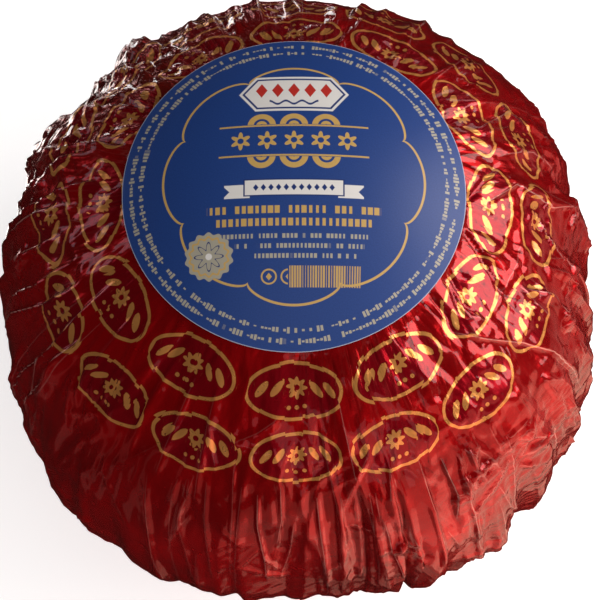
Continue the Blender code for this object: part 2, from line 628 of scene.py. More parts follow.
@dataclass(frozen=True)
class Crease:
    """Raised line or groove of the film through a few places.

    Attributes:
        path: Places on the line, each a compass angle in degrees and a distance from the crown.
        height: Rise of its crest in millimetres.
        left: Width of its flank on the left of the way the line runs, in millimetres.
        right: Width of its other flank.
    """

    path: tuple[tuple[float, float], ...]
    height: float
    left: float
    right: float

    def window(self, lay: Lay) -> Window:
        """The part of the ball that the crease touches.

        Args:
            lay: Places of the film's grid.

        Returns:
            Indices that cut the part out of the grid.
        """
        turns, arcs = zip(*self.path)
        reach = max(self.left, self.right)
        return lay.window(turns, min(arcs) - reach, max(arcs) + reach, reach)

    def relief(self, lay: Lay) -> np.ndarray:
        """Height of the crease at each place.

        Args:
            lay: Places of the part of the grid that it touches.

        Returns:
            The height, in millimetres.
        """
        off, ends = self._off(lay)
        flank = np.where(off > 0, self.left, self.right)
        return self.height * np.clip(1.0 - np.abs(off) / flank, 0.0, 1.0) * ends

    def crest(self, lay: Lay) -> Crest:
        """Places by the crease's crest line.

        Args:
            lay: Places of the part of the grid that it touches.

        Returns:
            The distance from the line, above zero on its steeper side, and how sharp it is there.
        """
        off, ends = self._off(lay)
        side = off if self.left < self.right else -off
        return side, sharpness(self.height) * ends

    def _off(self, lay: Lay) -> tuple[np.ndarray, np.ndarray]:
        """Places by the line through the crease's path.

        Args:
            lay: Places of the part of the grid that it touches.

        Returns:
            The distance from the line, above zero on its left, and a share that falls from 1 to 0
            at the line's ends.
        """
        start = self.path[0][0]
        x = lay.across(start)
        y = lay.arc
        knots = [
            (math.radians((turn - start + 180) % 360 - 180) * lay.girth_at(arc), arc)
            for turn, arc in self.path
        ]
        nearest = np.full(lay.arc.shape, np.inf)
        side = np.zeros(lay.arc.shape)
        share = np.zeros(lay.arc.shape)
        for index, (one, two) in enumerate(zip(knots, knots[1:])):
            run = (two[0] - one[0], two[1] - one[1])
            span = run[0] ** 2 + run[1] ** 2
            part = np.clip(((x - one[0]) * run[0] + (y - one[1]) * run[1]) / span, 0.0, 1.0)
            off = (x - one[0] - part * run[0], y - one[1] - part * run[1])
            gap = np.hypot(*off)
            closer = gap < nearest
            nearest = np.where(closer, gap, nearest)
            side = np.where(closer, run[0] * off[1] - run[1] * off[0], side)
            share = np.where(closer, (index + part) / (len(knots) - 1), share)
        ends = smooth_step(share / 0.2) * smooth_step((1.0 - share) / 0.25)
        return np.where(side > 0, nearest, -nearest), ends


@dataclass(frozen=True)
class Fan:
    """Burst of small creases that spread from one pinched place.

    Attributes:
        turn: Compass angle of the pinch, in degrees.
        arc: Its distance from the crown, in millimetres.
        heading: Middle way of the creases, in degrees from straight down towards greater angles.
        spread: Most that a crease turns from it, in degrees.
        count: Number of creases.
        reach: Length of the longest crease, in millimetres.
        height: Rise of the highest crest, in millimetres.
    """

    turn: float
    arc: float
    heading: float
    spread: float
    count: int
    reach: float
    height: float

    def creases(self, lay: Lay, dice: np.random.Generator) -> list[Crease]:
        """The creases of the burst."""
        return [self._crease(lay, dice) for _ in range(self.count)]

    def _crease(self, lay: Lay, dice: np.random.Generator) -> Crease:
        """One crease, a little bent, that starts near the pinch.

        Args:
            lay: Places of the film's grid.
            dice: Draws its way, bend, length, place and flanks.

        Returns:
            The crease.
        """
        way = math.radians(self.heading + dice.uniform(-self.spread, self.spread))
        bend = dice.normal(0, 0.18)
        reach = self.reach * dice.uniform(0.45, 1.0) / 2
        arc = self.arc + dice.uniform(-0.14, 0.14) * self.reach
        turn = self.turn + math.degrees(dice.uniform(-0.14, 0.14) * self.reach / lay.girth_at(arc))
        path = [(turn, arc)]
        for heading in (way, way + bend):
            girth = lay.girth_at(path[-1][1])
            step = math.degrees(reach * math.sin(heading) / girth)
            path.append((path[-1][0] + step, path[-1][1] + reach * math.cos(heading)))
        steep, gentle = dice.uniform(0.6, 1.0), dice.uniform(1.2, 3.0)
        flanks = (steep, gentle) if dice.random() < 0.5 else (gentle, steep)
        return Crease(tuple(path), self.height * dice.uniform(0.4, 1.0), *flanks)


@dataclass(frozen=True)
class Swell:
    """Broad soft rise or hollow of the ball.

    Attributes:
        turn: Compass angle of its middle, in degrees.
        arc: Distance of its middle from the crown, in millimetres.
        height: Rise at its middle in millimetres, below zero for a hollow.
        half_turn: Reach to either side, in degrees.
        half_arc: Reach up and down, in millimetres.
    """

    turn: float
    arc: float
    height: float
    half_turn: float
    half_arc: float

    def relief(self, lay: Lay) -> np.ndarray:
        """Height of the swell at each place.

        Args:
            lay: Places of the film's grid.

        Returns:
            The height, in millimetres.
        """
        aside = turn_between(lay.azimuth, math.radians(self.turn)) / math.radians(self.half_turn)
        along = (lay.arc - self.arc) / self.half_arc
        return self.height * np.exp(-aside * aside - along * along)


@dataclass(frozen=True)
class Side:
    """Side of the ball that is rougher, or smoother, than the rest.

    Attributes:
        turn: Compass angle of its middle, in degrees.
        half_width: Reach to either side, in degrees.
        more: How much rougher it is, below zero for smoother.
        top: Distance from the crown where it starts, in millimetres.
    """

    turn: float
    half_width: float
    more: float
    top: float = 0.0

    def share(self, lay: Lay) -> np.ndarray:
        """What the side adds to the roughness at each place."""
        away = turn_between(lay.azimuth, math.radians(self.turn)) / math.radians(self.half_width)
        return self.more * np.exp(-away * away) * smooth_step((lay.arc - self.top) / 16.0 + 0.5)


@dataclass
class FilmWrap:
    """The creased film all round the ball.

    Attributes:
        node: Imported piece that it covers.
        label_node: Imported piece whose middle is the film's axis.
        columns: Points round the ball, closest together at the front right, where folds are crispest.
        cap_rings: Rings of points under the label.
        shown_rings: Rings of points from the label to below the girth.
        foot_rings: Rings of points from there to the middle of the base.
        cap_arc: Distance from the crown of the first shown ring, in metres.
        shown_arc: Distance from the crown of the last shown ring, in metres.
        sheet_span: Width of the sheet that the print covers, in millimetres.
        nets: Facets of the film, from coarse to fine.
        crumples: Sides that are more or less crumpled.
        strokes: Sides with fine creases that run round the ball.
        swells: Broad rises and hollows.
        dense_turn: Compass angle where the columns are closest together, in degrees.
        dense_width: Reach of the closer columns to either side, in degrees.
        dense_share: How much closer they are there.
        base_reach: Distance over which the relief dies out towards the base, in millimetres.
        drawn_in: How far the film is drawn in to make room for its relief, in millimetres.
        swallow: How much more film a steep fold takes in than its slope is long.
        print_slack: Points round the ball over which the print finds its place again.
        label_edge: Distance of the label's edge from the crown, in millimetres.
        label_sink: How far the film is pressed in under the label, in millimetres.
        rings: Rings of points in all.
        ring_of: Ring of each point of the mesh.
        column_of: Column of each point of the mesh.
        points: Place of each point of the grid, in metres.
        normals: Way out of the ball at each point.
        lay: Compass angle and distances of each point.
        crumpling: How crumpled the film is at each point, 1 on the whole.
        crest_side: Distance from the nearest crest line, above zero on its steeper side.
        crest_sharp: How sharp that crest is, from -1 for a deep groove to 1.
    """

    node: str = "wrapped_ball"
    label_node: str = "label"
    columns: int = 604
    cap_rings: int = 6
    shown_rings: int = 118
    foot_rings: int = 41
    cap_arc: float = 0.044
    shown_arc: float = 0.163
    sheet_span: float = 520.0
    nets: tuple[FacetNet, ...] = (
        FacetNet(38, 10, 1.1, 3, 0.4),
        FacetNet(84, 28, 0.68, 5, 0.8),
        FacetNet(190, 66, 0.34, 9, 0.6),
    )
    crumples: tuple[Side, ...] = (
        Side(138.0, 26.0, 1.1),
        Side(178.0, 22.0, -0.2),
        Side(-135.0, 28.0, -0.8),
        Side(-95.0, 22.0, -0.5),
        Side(-45.0, 28.0, -0.45),
        Side(52.0, 22.0, -0.35),
        Side(0.0, 24.0, -0.35),
    )
    strokes: tuple[Side, ...] = (
        Side(135.0, 30.0, 1.0, 64.0),
        Side(0.0, 30.0, 0.9, 92.0),
        Side(-42.0, 20.0, 0.6, 96.0),
        Side(-172.0, 24.0, 0.5, 84.0),
    )
    swells: tuple[Swell, ...] = (
        Swell(140.0, 112.0, -3.4, 8.0, 34.0),
        Swell(170.0, 122.0, -2.2, 7.0, 34.0),
        Swell(-84.0, 165.0, -1.2, 3.0, 30.0),
        Swell(-90.5, 165.0, 1.4, 3.0, 30.0),
        Swell(-72.0, 165.0, -1.0, 3.0, 30.0),
        Swell(-62.5, 164.0, -3.6, 4.5, 30.0),
        Swell(-47.0, 158.0, -3.6, 4.0, 30.0),
        Swell(-40.0, 158.0, 1.0, 3.0, 30.0),
        Swell(-5.5, 128.0, -3.4, 5.0, 30.0),
        Swell(8.5, 125.0, 1.8, 4.0, 30.0),
        Swell(15.5, 122.0, -4.4, 3.5, 34.0),
        Swell(109.0, 104.0, 1.0, 3.0, 30.0),
        Swell(121.0, 104.0, -2.4, 3.0, 30.0),
        Swell(128.0, 104.0, 1.8, 2.5, 30.0),
        Swell(152.0, 118.0, 3.2, 3.0, 30.0),
        Swell(157.5, 118.0, 1.0, 2.5, 30.0),
    )
    dense_turn: float = -75.0
    dense_width: float = 60.0
    dense_share: float = 0.9
    base_reach: float = 30.0
    drawn_in: float = 0.8
    swallow: float = 2.5
    print_slack: float = 22.0
    label_edge: float = 45.0
    label_sink: float = 0.4
    rings: int = field(init=False)
    ring_of: np.ndarray = field(init=False)
    column_of: np.ndarray = field(init=False)
    points: np.ndarray = field(init=False)
    normals: np.ndarray = field(init=False)
    lay: Lay = field(init=False)
    crumpling: np.ndarray = field(init=False)
    crest_side: np.ndarray = field(init=False)
    crest_sharp: np.ndarray = field(init=False)

    def build(self) -> bpy.types.Object:
        """Make the film's mesh with its flat-sheet coordinates.

        Returns:
            The finished film.
        """
        film = self._start_sphere()
        self._lay_on_ball()
        self.crumpling = 1.0 + sum(side.share(self.lay) for side in self.crumples)
        raised = self.points + self.normals * (self._relief() * MM)[..., None]
        raised[..., 2] = np.maximum(raised[..., 2], 0.0)
        self._write_sheet(film, raised)
        self.points = raised
        self._place(film)
        deselect_all()
        film.select_set(True)
        bpy.context.view_layer.objects.active = film
        bpy.ops.object.shade_smooth()
        return film

    def _start_sphere(self) -> bpy.types.Object:
        """Add the sphere whose grid of points becomes the film.

        Returns:
            The sphere.
        """
        deselect_all()
        self.rings = self.cap_rings + self.shown_rings + self.foot_rings
        bpy.ops.mesh.primitive_uv_sphere_add(
            segments=self.columns, ring_count=self.rings, radius=1.0, location=(0, 0, 0)
        )
        film = bpy.context.object
        film.name = "film_wrap"
        film.data.name = "film_wrap"
        start = np.empty(len(film.data.vertices) * 3, np.float32)
        film.data.vertices.foreach_get("co", start)
        start = start.reshape(-1, 3)
        polar = np.arccos(np.clip(start[:, 2], -1, 1))
        self.ring_of = np.rint(polar / math.pi * self.rings).astype(int)
        turn = np.arctan2(start[:, 1], start[:, 0]) / math.tau
        self.column_of = np.rint(turn * self.columns).astype(int) % self.columns
        return film

    def _turns(self) -> np.ndarray:
        """Spread the columns round the ball, closest together where the folds are finest.

        Returns:
            The compass angle of each column, in radians, from the front round to the front.
        """
        even = np.linspace(-math.pi / 2, 1.5 * math.pi, 4001)
        away = turn_between(even, math.radians(self.dense_turn)) / math.radians(self.dense_width)
        denser = self.dense_share * np.exp(-away[:-1] * away[:-1])
        passed = np.concatenate([[0.0], np.cumsum(1.0 + denser)])
        return np.interp(np.arange(self.columns) / self.columns * passed[-1], passed, even)

    def _lay_on_ball(self) -> None:
        """Find the ball's surface under every point of the grid."""
        low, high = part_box(self.label_node)
        ball_low, ball_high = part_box(self.node)
        axis = Vector(((low.x + high.x) / 2, (low.y + high.y) / 2, (ball_low.z + ball_high.z) / 2))
        ball = bpy.data.objects[self.node]
        tree = BVHTree.FromObject(ball, bpy.context.evaluated_depsgraph_get())
        full = math.pi * (ball_high.z - ball_low.z) / 2 * 1.06
        cap = np.linspace(0.0, self.cap_arc, self.cap_rings, endpoint=False)
        shown = np.linspace(self.cap_arc, self.shown_arc, self.shown_rings, endpoint=False)
        foot = np.linspace(self.shown_arc, full, self.foot_rings + 1)
        polar = (np.concatenate([cap, shown, foot]) / full * math.pi)[:, None]
        turns = self._turns()[None, :]
        upright = np.cos(polar) * np.ones_like(turns)
        ways = np.stack([np.sin(polar) * np.cos(turns), np.sin(polar) * np.sin(turns), upright], -1)
        reach = [(tree.ray_cast(axis, Vector(way))[0] - axis).length for way in ways.reshape(-1, 3)]
        reach = blur(np.array(reach).reshape(upright.shape), 2.5, 0.7)
        self.points = np.array(axis) + ways * reach[..., None]
        out = np.hypot(self.points[..., 0] - axis.x, self.points[..., 1] - axis.y).mean(axis=1)
        steps = np.hypot(np.diff(out), np.diff(self.points[..., 2].mean(axis=1)))
        arc = np.concatenate([[0.0], np.cumsum(steps)])[:, None] / MM
        whole = np.ones_like(upright)
        self.lay = Lay(azimuth=turns * whole, arc=arc * whole, girth=out[:, None] / MM * whole)
        down = np.gradient(self.points, axis=0)
        sideways = np.roll(self.points, -1, axis=1) - np.roll(self.points, 1, axis=1)
        normals = np.cross(down, sideways)
        normals /= np.maximum(np.linalg.norm(normals, axis=-1, keepdims=True), 1e-12)
        normals[0] = (0, 0, 1)
        normals[-1] = (0, 0, -1)
        self.normals = normals

    def _relief(self) -> np.ndarray:
        """Raise nets, folds and swells on the film, and note its crests.

        Returns:
            The rise of the film off the ball at every point, in millimetres.
        """
        lay = self.lay
        relief = np.zeros_like(lay.arc)
        for net in self.nets:
            relief += net.relief(lay) * (1.0 + net.local * (self.crumpling - 1.0))
        end = lay.arc[-1, 0]
        off_base = smooth_step((end - self.base_reach - lay.arc) / self.base_reach)
        relief *= 0.15 + 0.85 * off_base
        for fold in self._front_folds():
            if isinstance(fold, LongFold) and fold.flat > 1.0:
                window = fold.window(lay)
                relief[window] *= 1.0 - 0.85 * fold.calm(lay.cut(window))
                self.crumpling[window] *= 1.0 - 0.8 * fold.calm(lay.cut(window))
        self.crest_side = np.full_like(lay.arc, 9.0)
        self.crest_sharp = np.zeros_like(lay.arc)
        for fold in self._folds():
            window = fold.window(lay)
            relief[window] += fold.relief(lay.cut(window)) * off_base[window]
            self._note_crest(window, *fold.crest(lay.cut(window)))
        for swell in self.swells:
            relief += swell.relief(lay)
        relief -= self.drawn_in * off_base
        above = smooth_step((lay.arc - (self.label_edge + 2.9)) / 9.0)
        below = smooth_step((lay.arc - self.label_edge) / 4.0)
        hidden = smooth_step((self.label_edge - lay.arc) / 5.0)
        return np.where(relief > 0, relief * above, relief * below) - self.label_sink * hidden

    def _note_crest(self, window: Window, side: np.ndarray, sharp: np.ndarray) -> None:
        """Keep the way to a crest line where it is the nearest so far.

        Args:
            window: Part of the ball that is looked at.
            side: Distance from the crest line, above zero on its steeper side, in millimetres.
            sharp: How sharp the crest is, from -1 for a deep groove to 1 for a high crest.
        """
        closer = (np.abs(side) < np.abs(self.crest_side[window])) & (np.abs(sharp) > 0.08)
        self.crest_side[window] = np.where(closer, side, self.crest_side[window])
        self.crest_sharp[window] = np.where(closer, sharp, self.crest_sharp[window])

    def _folds(self) -> list[LongFold | Crease]:
        """Every fold and crease of the film."""
        named = self._front_folds() + self._right_folds() + self._left_folds()
        return named + self._small_folds() + self._fans() + self._creases()

    def _front_folds(self) -> list[LongFold | Crease]:
        """Place the folds that stand out at the front.

        Returns:
            The folds and creases.
        """
        return [
            LongFold(-67.0, 76, 215, 3.6, 2.2, 0.7, 0.7, 7.6),
            LongFold(-69.4, 80, 174, 0.4, -1.5, 2.0, 0.6, 0.4),
            LongFold(-69.3, 112, 200, 1.2, -3.4, 1.6, 0.7, 1.6),
            LongFold(-74.7, 84, 176, 0.6, 1.0, 0.7, 3.0, 1.6),
            LongFold(-77.6, 78, 180, 0.3, -1.0, 0.6, 1.4, 0.2),
            LongFold(-81.4, 84, 170, 0.6, 0.9, 0.6, 2.6, 1.2),
            Crease(((-73.4, 97), (-72.6, 112), (-70.8, 128), (-69.8, 146)), 0.8, 0.6, 1.8),
            Crease(((-70.3, 82), (-71.6, 95)), 0.6, 0.6, 1.6),
            Crease(((-85.8, 86), (-85.4, 101), (-84.4, 126), (-84.0, 150)), 0.8, 0.6, 1.4),
            Crease(((-90.2, 98), (-91.0, 112), (-93.0, 136)), 0.7, 1.2, 0.6),
            Crease(((-93.2, 83), (-92.7, 98), (-93.6, 114)), 0.7, 0.8, 0.7),
            Crease(((-97.8, 86), (-97.3, 101), (-95.6, 119), (-95.0, 138)), 0.9, 0.7, 1.1),
            Crease(((-103.6, 76), (-102.2, 99), (-101.7, 143)), 0.55, 0.5, 0.5),
            Crease(((-108.7, 82), (-107.6, 100), (-105.9, 120), (-105.0, 140)), 0.6, 0.6, 0.8),
            Crease(((-112.4, 83), (-112.5, 104), (-109.6, 130), (-109.0, 146)), 0.6, 0.8, 0.6),
            Crease(((-121.0, 88), (-117.4, 115), (-115.2, 142), (-114.4, 156)), 1.0, 2.6, 1.2),
            Crease(((-129.6, 90), (-128.8, 100), (-124.0, 112), (-119.4, 124)), 0.6, 0.5, 0.7),
            Crease(((-130.6, 94), (-131.2, 112), (-130.4, 140)), 0.6, 0.6, 0.8),
            Crease(((-143.0, 97), (-137.0, 88), (-134.0, 82)), 0.8, 1.2, 0.7),
            Crease(((-131.6, 88), (-135.4, 98), (-138.0, 112), (-139.2, 128)), 0.9, 2.4, 0.7),
            Crease(((-124.6, 66), (-130.0, 76), (-136.0, 88)), 0.5, 0.6, 0.6),
            Crease(((-104.0, 120), (-92.0, 132), (-80.0, 128)), 0.6, 1.0, 2.5),
            Crease(((-88.0, 126), (-82.0, 120), (-79.0, 108)), 0.5, 0.8, 1.6),
        ]

    def _right_folds(self) -> list[LongFold | Crease]:
        """Place the folds that stand out on the right and at the back.

        Returns:
            The folds and creases.
        """
        return [
            Crease(
                ((-44.0, 55), (-36.6, 66), (-29.6, 78), (-26.1, 89), (-23.2, 108), (-20.6, 137)),
                height=1.1,
                left=0.5,
                right=5.0,
            ),
            Crease(((-9.0, 46), (-12.0, 49), (-19.6, 58), (-22.5, 65), (-26.0, 74)), -1.0, 1.2, 0.7),
            Crease(((-25.0, 45), (-29.0, 50), (-32.1, 55), (-35.0, 61)), -0.8, 1.1, 0.7),
            Crease(((-30.0, 45), (-33.0, 52), (-37.0, 58)), -0.7, 0.8, 1.0),
            Crease(((-39.0, 46), (-39.7, 54), (-42.0, 60)), -0.7, 0.8, 0.8),
            Crease(((-3.0, 46), (1.1, 50), (10.1, 57), (14.0, 63)), -0.9, 0.8, 1.4),
            Crease(((-2.0, 52), (8.0, 66), (6.0, 84), (12.0, 108)), 1.1, 0.8, 4.0),
            Crease(((24.0, 56), (30.0, 78), (22.0, 104)), 1.0, 3.5, 0.9),
            Crease(((-19.0, 70), (-15.0, 84), (-17.0, 100)), 1.0, 2.8, 0.7),
            Crease(((4.0, 72), (-4.0, 86), (-6.0, 104)), 1.0, 0.7, 3.0),
            Crease(((16.0, 62), (19.0, 80), (16.0, 98)), 0.9, 0.7, 2.8),
            LongFold(-17.0, 100, 176, -4.0, 2.2, 9.0, 1.5),
            LongFold(-27.5, 104, 168, -1.0, 1.2, 7.0, 1.0),
            LongFold(-51.0, 112, 184, 2.0, 1.2, 1.2, 8.0),
            LongFold(-45.0, 88, 150, -4.0, 0.9, 1.2, 3.0),
            LongFold(-57.0, 92, 160, 1.5, 1.0, 1.6, 2.2),
            Crease(((-44.0, 96), (-34.0, 112), (-36.0, 140)), 1.0, 0.9, 3.0),
            Crease(((-58.0, 112), (-50.5, 106), (-46.0, 100)), 0.8, 1.4, 0.8),
            Crease(((-50.5, 106), (-48.5, 124), (-43.0, 140)), 0.8, 0.8, 2.0),
            Crease(((-59.5, 84), (-58.6, 100), (-60.0, 112)), 1.0, 0.9, 3.6),
            LongFold(60.0, 70, 150, 4.0, 1.2, 0.8, 5.0),
            LongFold(76.0, 64, 160, -3.0, 1.3, 4.0, 0.8),
            LongFold(88.0, 62, 150, 2.0, 1.2, 0.8, 5.0),
            LongFold(99.0, 56, 130, -1.0, 1.3, 0.7, 3.0),
            LongFold(110.5, 56, 130, -2.0, 1.4, 0.7, 3.5),
        ]

    def _left_folds(self) -> list[LongFold | Crease]:
        """Place the pleats that stand out on the left, each with a steep far side.

        Returns:
            The folds and creases.
        """
        return [
            Crease(((121.0, 58), (124.0, 76), (126.0, 100), (128.0, 130)), 1.6, 0.7, 5.0),
            Crease(((133.0, 58), (135.0, 76), (137.0, 100), (138.0, 130)), 1.8, 0.7, 5.0),
            Crease(((146.0, 60), (147.5, 76), (148.0, 96), (149.0, 124)), 1.8, 0.7, 5.0),
            Crease(((161.5, 49), (159.8, 66), (160.1, 78), (157.8, 100), (157.0, 140)), 2.5, 0.6, 6.0),
            Crease(((163.0, 60), (163.3, 76), (164.2, 89), (166.0, 110), (166.0, 140)), 2.0, 0.6, 6.0),
            Crease(((171.0, 56), (172.1, 73), (173.1, 82), (172.5, 93), (172.0, 150)), 2.6, 0.6, 6.0),
            Crease(((176.5, 66), (175.9, 87), (175.8, 99), (175.0, 135)), 1.8, 0.6, 5.0),
            Crease(((-176.0, 72), (-176.9, 88), (-177.1, 96), (-178.5, 140)), 1.8, 0.6, 5.0),
            Crease(((-167.5, 62), (-168.2, 78), (-168.0, 86), (-170.4, 103), (-172.0, 145)), 1.7, 0.6, 6.0),
            Crease(((-160.5, 64), (-161.8, 80), (-164.4, 91), (-167.5, 104), (-169.0, 140)), 1.7, 0.6, 6.0),
            Crease(((-155.4, 51), (-152.8, 85), (-153.7, 94), (-157.5, 115), (-160.0, 150)), 1.9, 0.6, 6.0),
            Crease(((-148.5, 70), (-149.9, 87), (-150.1, 99), (-153.1, 118), (-154.0, 146)), 1.6, 0.6, 5.0),
            Crease(((-137.4, 48), (-136.5, 60), (-134.8, 70), (-136.1, 83), (-141.0, 112)), 0.7, 0.5, 0.6),
            Crease(((-138.8, 48), (-137.7, 60), (-136.1, 70), (-137.4, 83), (-140.0, 98)), 0.5, 0.6, 0.5),
        ]

    def _small_folds(self) -> list[LongFold]:
        """Draw many small folds down the ball.

        Returns:
            The folds.
        """
        dice = np.random.default_rng(41)
        folds = []
        for _ in range(150):
            top = dice.uniform(46, 120)
            sharp = dice.random() < 0.5
            folds.append(
                LongFold(
                    turn=dice.uniform(0, 360),
                    top=top,
                    foot=top + dice.uniform(30, 100),
                    slant=dice.normal(0, 5),
                    height=dice.uniform(0.2, 0.7),
                    left=0.6 if sharp else dice.uniform(1.0, 4.0),
                    right=dice.uniform(1.0, 4.0) if sharp else dice.uniform(0.6, 3.0),
                )
            )
        return folds

    def _fans(self) -> list[Crease]:
        """Draw bursts of small creases, some where they stand out and some anywhere.

        Returns:
            The creases of every burst.
        """
        dice = np.random.default_rng(77)
        fans = [
            Fan(-59.0, 138, 70, 26, 12, 24, 0.6),
            Fan(-52.0, 146, 84, 20, 8, 18, 0.45),
            Fan(-48.0, 98, -76, 18, 9, 20, 0.7),
            Fan(-44.0, 108, 60, 40, 10, 18, 0.6),
            Fan(-39.0, 96, -70, 26, 9, 16, 0.7),
            Fan(-36.0, 118, 80, 24, 9, 16, 0.55),
            Fan(-54.0, 84, 10, 34, 9, 22, 0.6),
            Fan(-33.0, 92, 20, 36, 7, 18, 0.6),
            Fan(-72.0, 112, 86, 24, 8, 8, 0.5),
            Fan(-20.0, 92, 75, 30, 9, 14, 0.7),
            Fan(-8.0, 96, 80, 24, 9, 14, 0.7),
            Fan(4.0, 98, 80, 26, 8, 14, 0.7),
            Fan(-36.0, 58, 12, 34, 8, 14, 0.6),
            Fan(-18.0, 54, 20, 30, 5, 14, 0.5),
            Fan(168.0, 84, 10, 26, 7, 14, 0.6),
            Fan(-176.0, 88, 0, 24, 7, 14, 0.6),
        ]
        for _ in range(46):
            turn, arc = dice.uniform(0, 360), dice.uniform(62, 150)
            fans.append(Fan(turn, arc, dice.normal(0, 30), 26, int(dice.integers(3, 7)), 26, 0.55))
        for strokes in self.strokes:
            for _ in range(26):
                turn = strokes.turn + strokes.half_width * dice.normal(0, 0.5)
                heading = dice.choice((-1, 1)) * dice.uniform(66, 104)
                fans.append(Fan(turn, dice.uniform(66, 120), heading, 22, 4, 12, 0.4 * strokes.more))
        return [crease for fan in fans for crease in fan.creases(self.lay, dice)]

    def _creases(self) -> list[Crease]:
        """Draw short creases that run every way.

        Returns:
            The creases.
        """
        dice = np.random.default_rng(29)
        creases = []
        for _ in range(150):
            turn, arc = dice.uniform(0, 360), dice.uniform(54, 190)
            way = math.degrees(dice.normal(0, 0.9))
            creases += Fan(turn, arc, way, 0, 1, 2 * dice.uniform(5, 16), 0.7).creases(self.lay, dice)
        return creases

    def _place(self, film: bpy.types.Object) -> None:
        """Move the mesh's points onto the grid and keep what its finish reads there.

        Args:
            film: The film's piece.
        """
        place = self.points[self.ring_of, self.column_of]
        for ring in (0, self.rings):
            place[self.ring_of == ring] = self.points[ring].mean(axis=0)
        film.data.vertices.foreach_set("co", place.astype(np.float32).ravel())
        stroked = sum(side.share(self.lay) for side in self.strokes)
        grids = {
            "crumpling": self.crumpling,
            "stroked": stroked,
            "crest_side": self.crest_side,
            "crest_gap": np.abs(self.crest_side),
            "crest_sharp": self.crest_sharp,
        }
        for name, grid in grids.items():
            values = grid[self.ring_of, self.column_of].astype(np.float32)
            film.data.attributes.new(name, "FLOAT", "POINT").data.foreach_set("value", values)
        film.data.update()

    def _write_sheet(self, film: bpy.types.Object, raised: np.ndarray) -> None:
        """Write the flat-sheet coordinates, which skip ahead at steep folds that swallow film.

        Args:
            film: The film's piece.
            raised: Place of each point of the grid with its relief, in metres.
        """
        ahead = np.linalg.norm(np.roll(raised, -1, axis=1) - raised, axis=-1)
        level = np.linalg.norm(np.roll(self.points, -1, axis=1) - self.points, axis=-1)
        swallowed = blur(np.maximum(ahead - level, 0.0), 2.0, 0.0)
        steps = ahead + self.swallow * swallowed
        share = np.cumsum(steps, axis=1) - steps
        share *= math.tau / np.maximum(steps.sum(axis=1, keepdims=True), 1e-12)
        skipped = share - math.pi / 2 - self.lay.azimuth
        turn = self.lay.azimuth + skipped - blur(skipped, 0.0, self.print_slack)
        across = self.lay.arc * np.cos(turn) / self.sheet_span + 0.5
        along = self.lay.arc * np.sin(turn) / self.sheet_span + 0.5
        sheet = np.stack([across, along], axis=-1)[self.ring_of, self.column_of]
        corners = np.empty(len(film.data.loops), np.int32)
        film.data.loops.foreach_get("vertex_index", corners)
        layer = film.data.uv_layers[0]
        layer.name = "film"
        layer.data.foreach_set("uv", sheet[corners].astype(np.float32).ravel())


@dataclass(frozen=True)
class OvalRing:
    """Ring of printed ovals round the crown.

    Attributes:
        radius: Distance of their middles from the crown, in millimetres.
        count: Number of ovals.
    """

    radius: float
    count: int


@dataclass(frozen=True)
class Drum:
    """Upright drum, gently bent, on which a pattern runs down or round the ball.

    Attributes:
        girth: Radius of the drum in millimetres: less makes the pattern wider.
        stretch: Height of the drum to a millimetre down the ball: less makes it longer.
        cells: Cells or waves of the pattern to a millimetre.
        bend: How far the pattern wanders, in millimetres.
    """

    girth: float
    stretch: float
    cells: float
    bend: float = 14.0

    def place(self, across: Field, along: Field) -> bpy.types.NodeSocket:
        """Place on the drum.

        Args:
            across: Distance to the right on the sheet, in millimetres.
            along: Distance upwards on the sheet.

        Returns:
            The place, in millimetres.
        """
        tree = across.tree
        out = length(across, along).most(1.0)
        flat = joined(across / out * self.girth, along / out * self.girth, out * self.stretch)
        warp = tree.nodes.new("ShaderNodeTexNoise")
        warp.inputs["Scale"].default_value = 0.06
        warp.inputs["Detail"].default_value = 1.0
        tree.links.new(flat, warp.inputs["Vector"])
        bent = tree.nodes.new("ShaderNodeVectorMath")
        bent.operation = "MULTIPLY_ADD"
        tree.links.new(warp.outputs["Color"], bent.inputs[0])
        bent.inputs[1].default_value = (self.bend, self.bend, self.bend)
        tree.links.new(flat, bent.inputs[2])
        return bent.outputs[0]

    def borders(self, across: Field, along: Field) -> Field:
        """Distance from the borders of the pattern's cells."""
        return border_value(across.tree, self.place(across, along), self.cells)


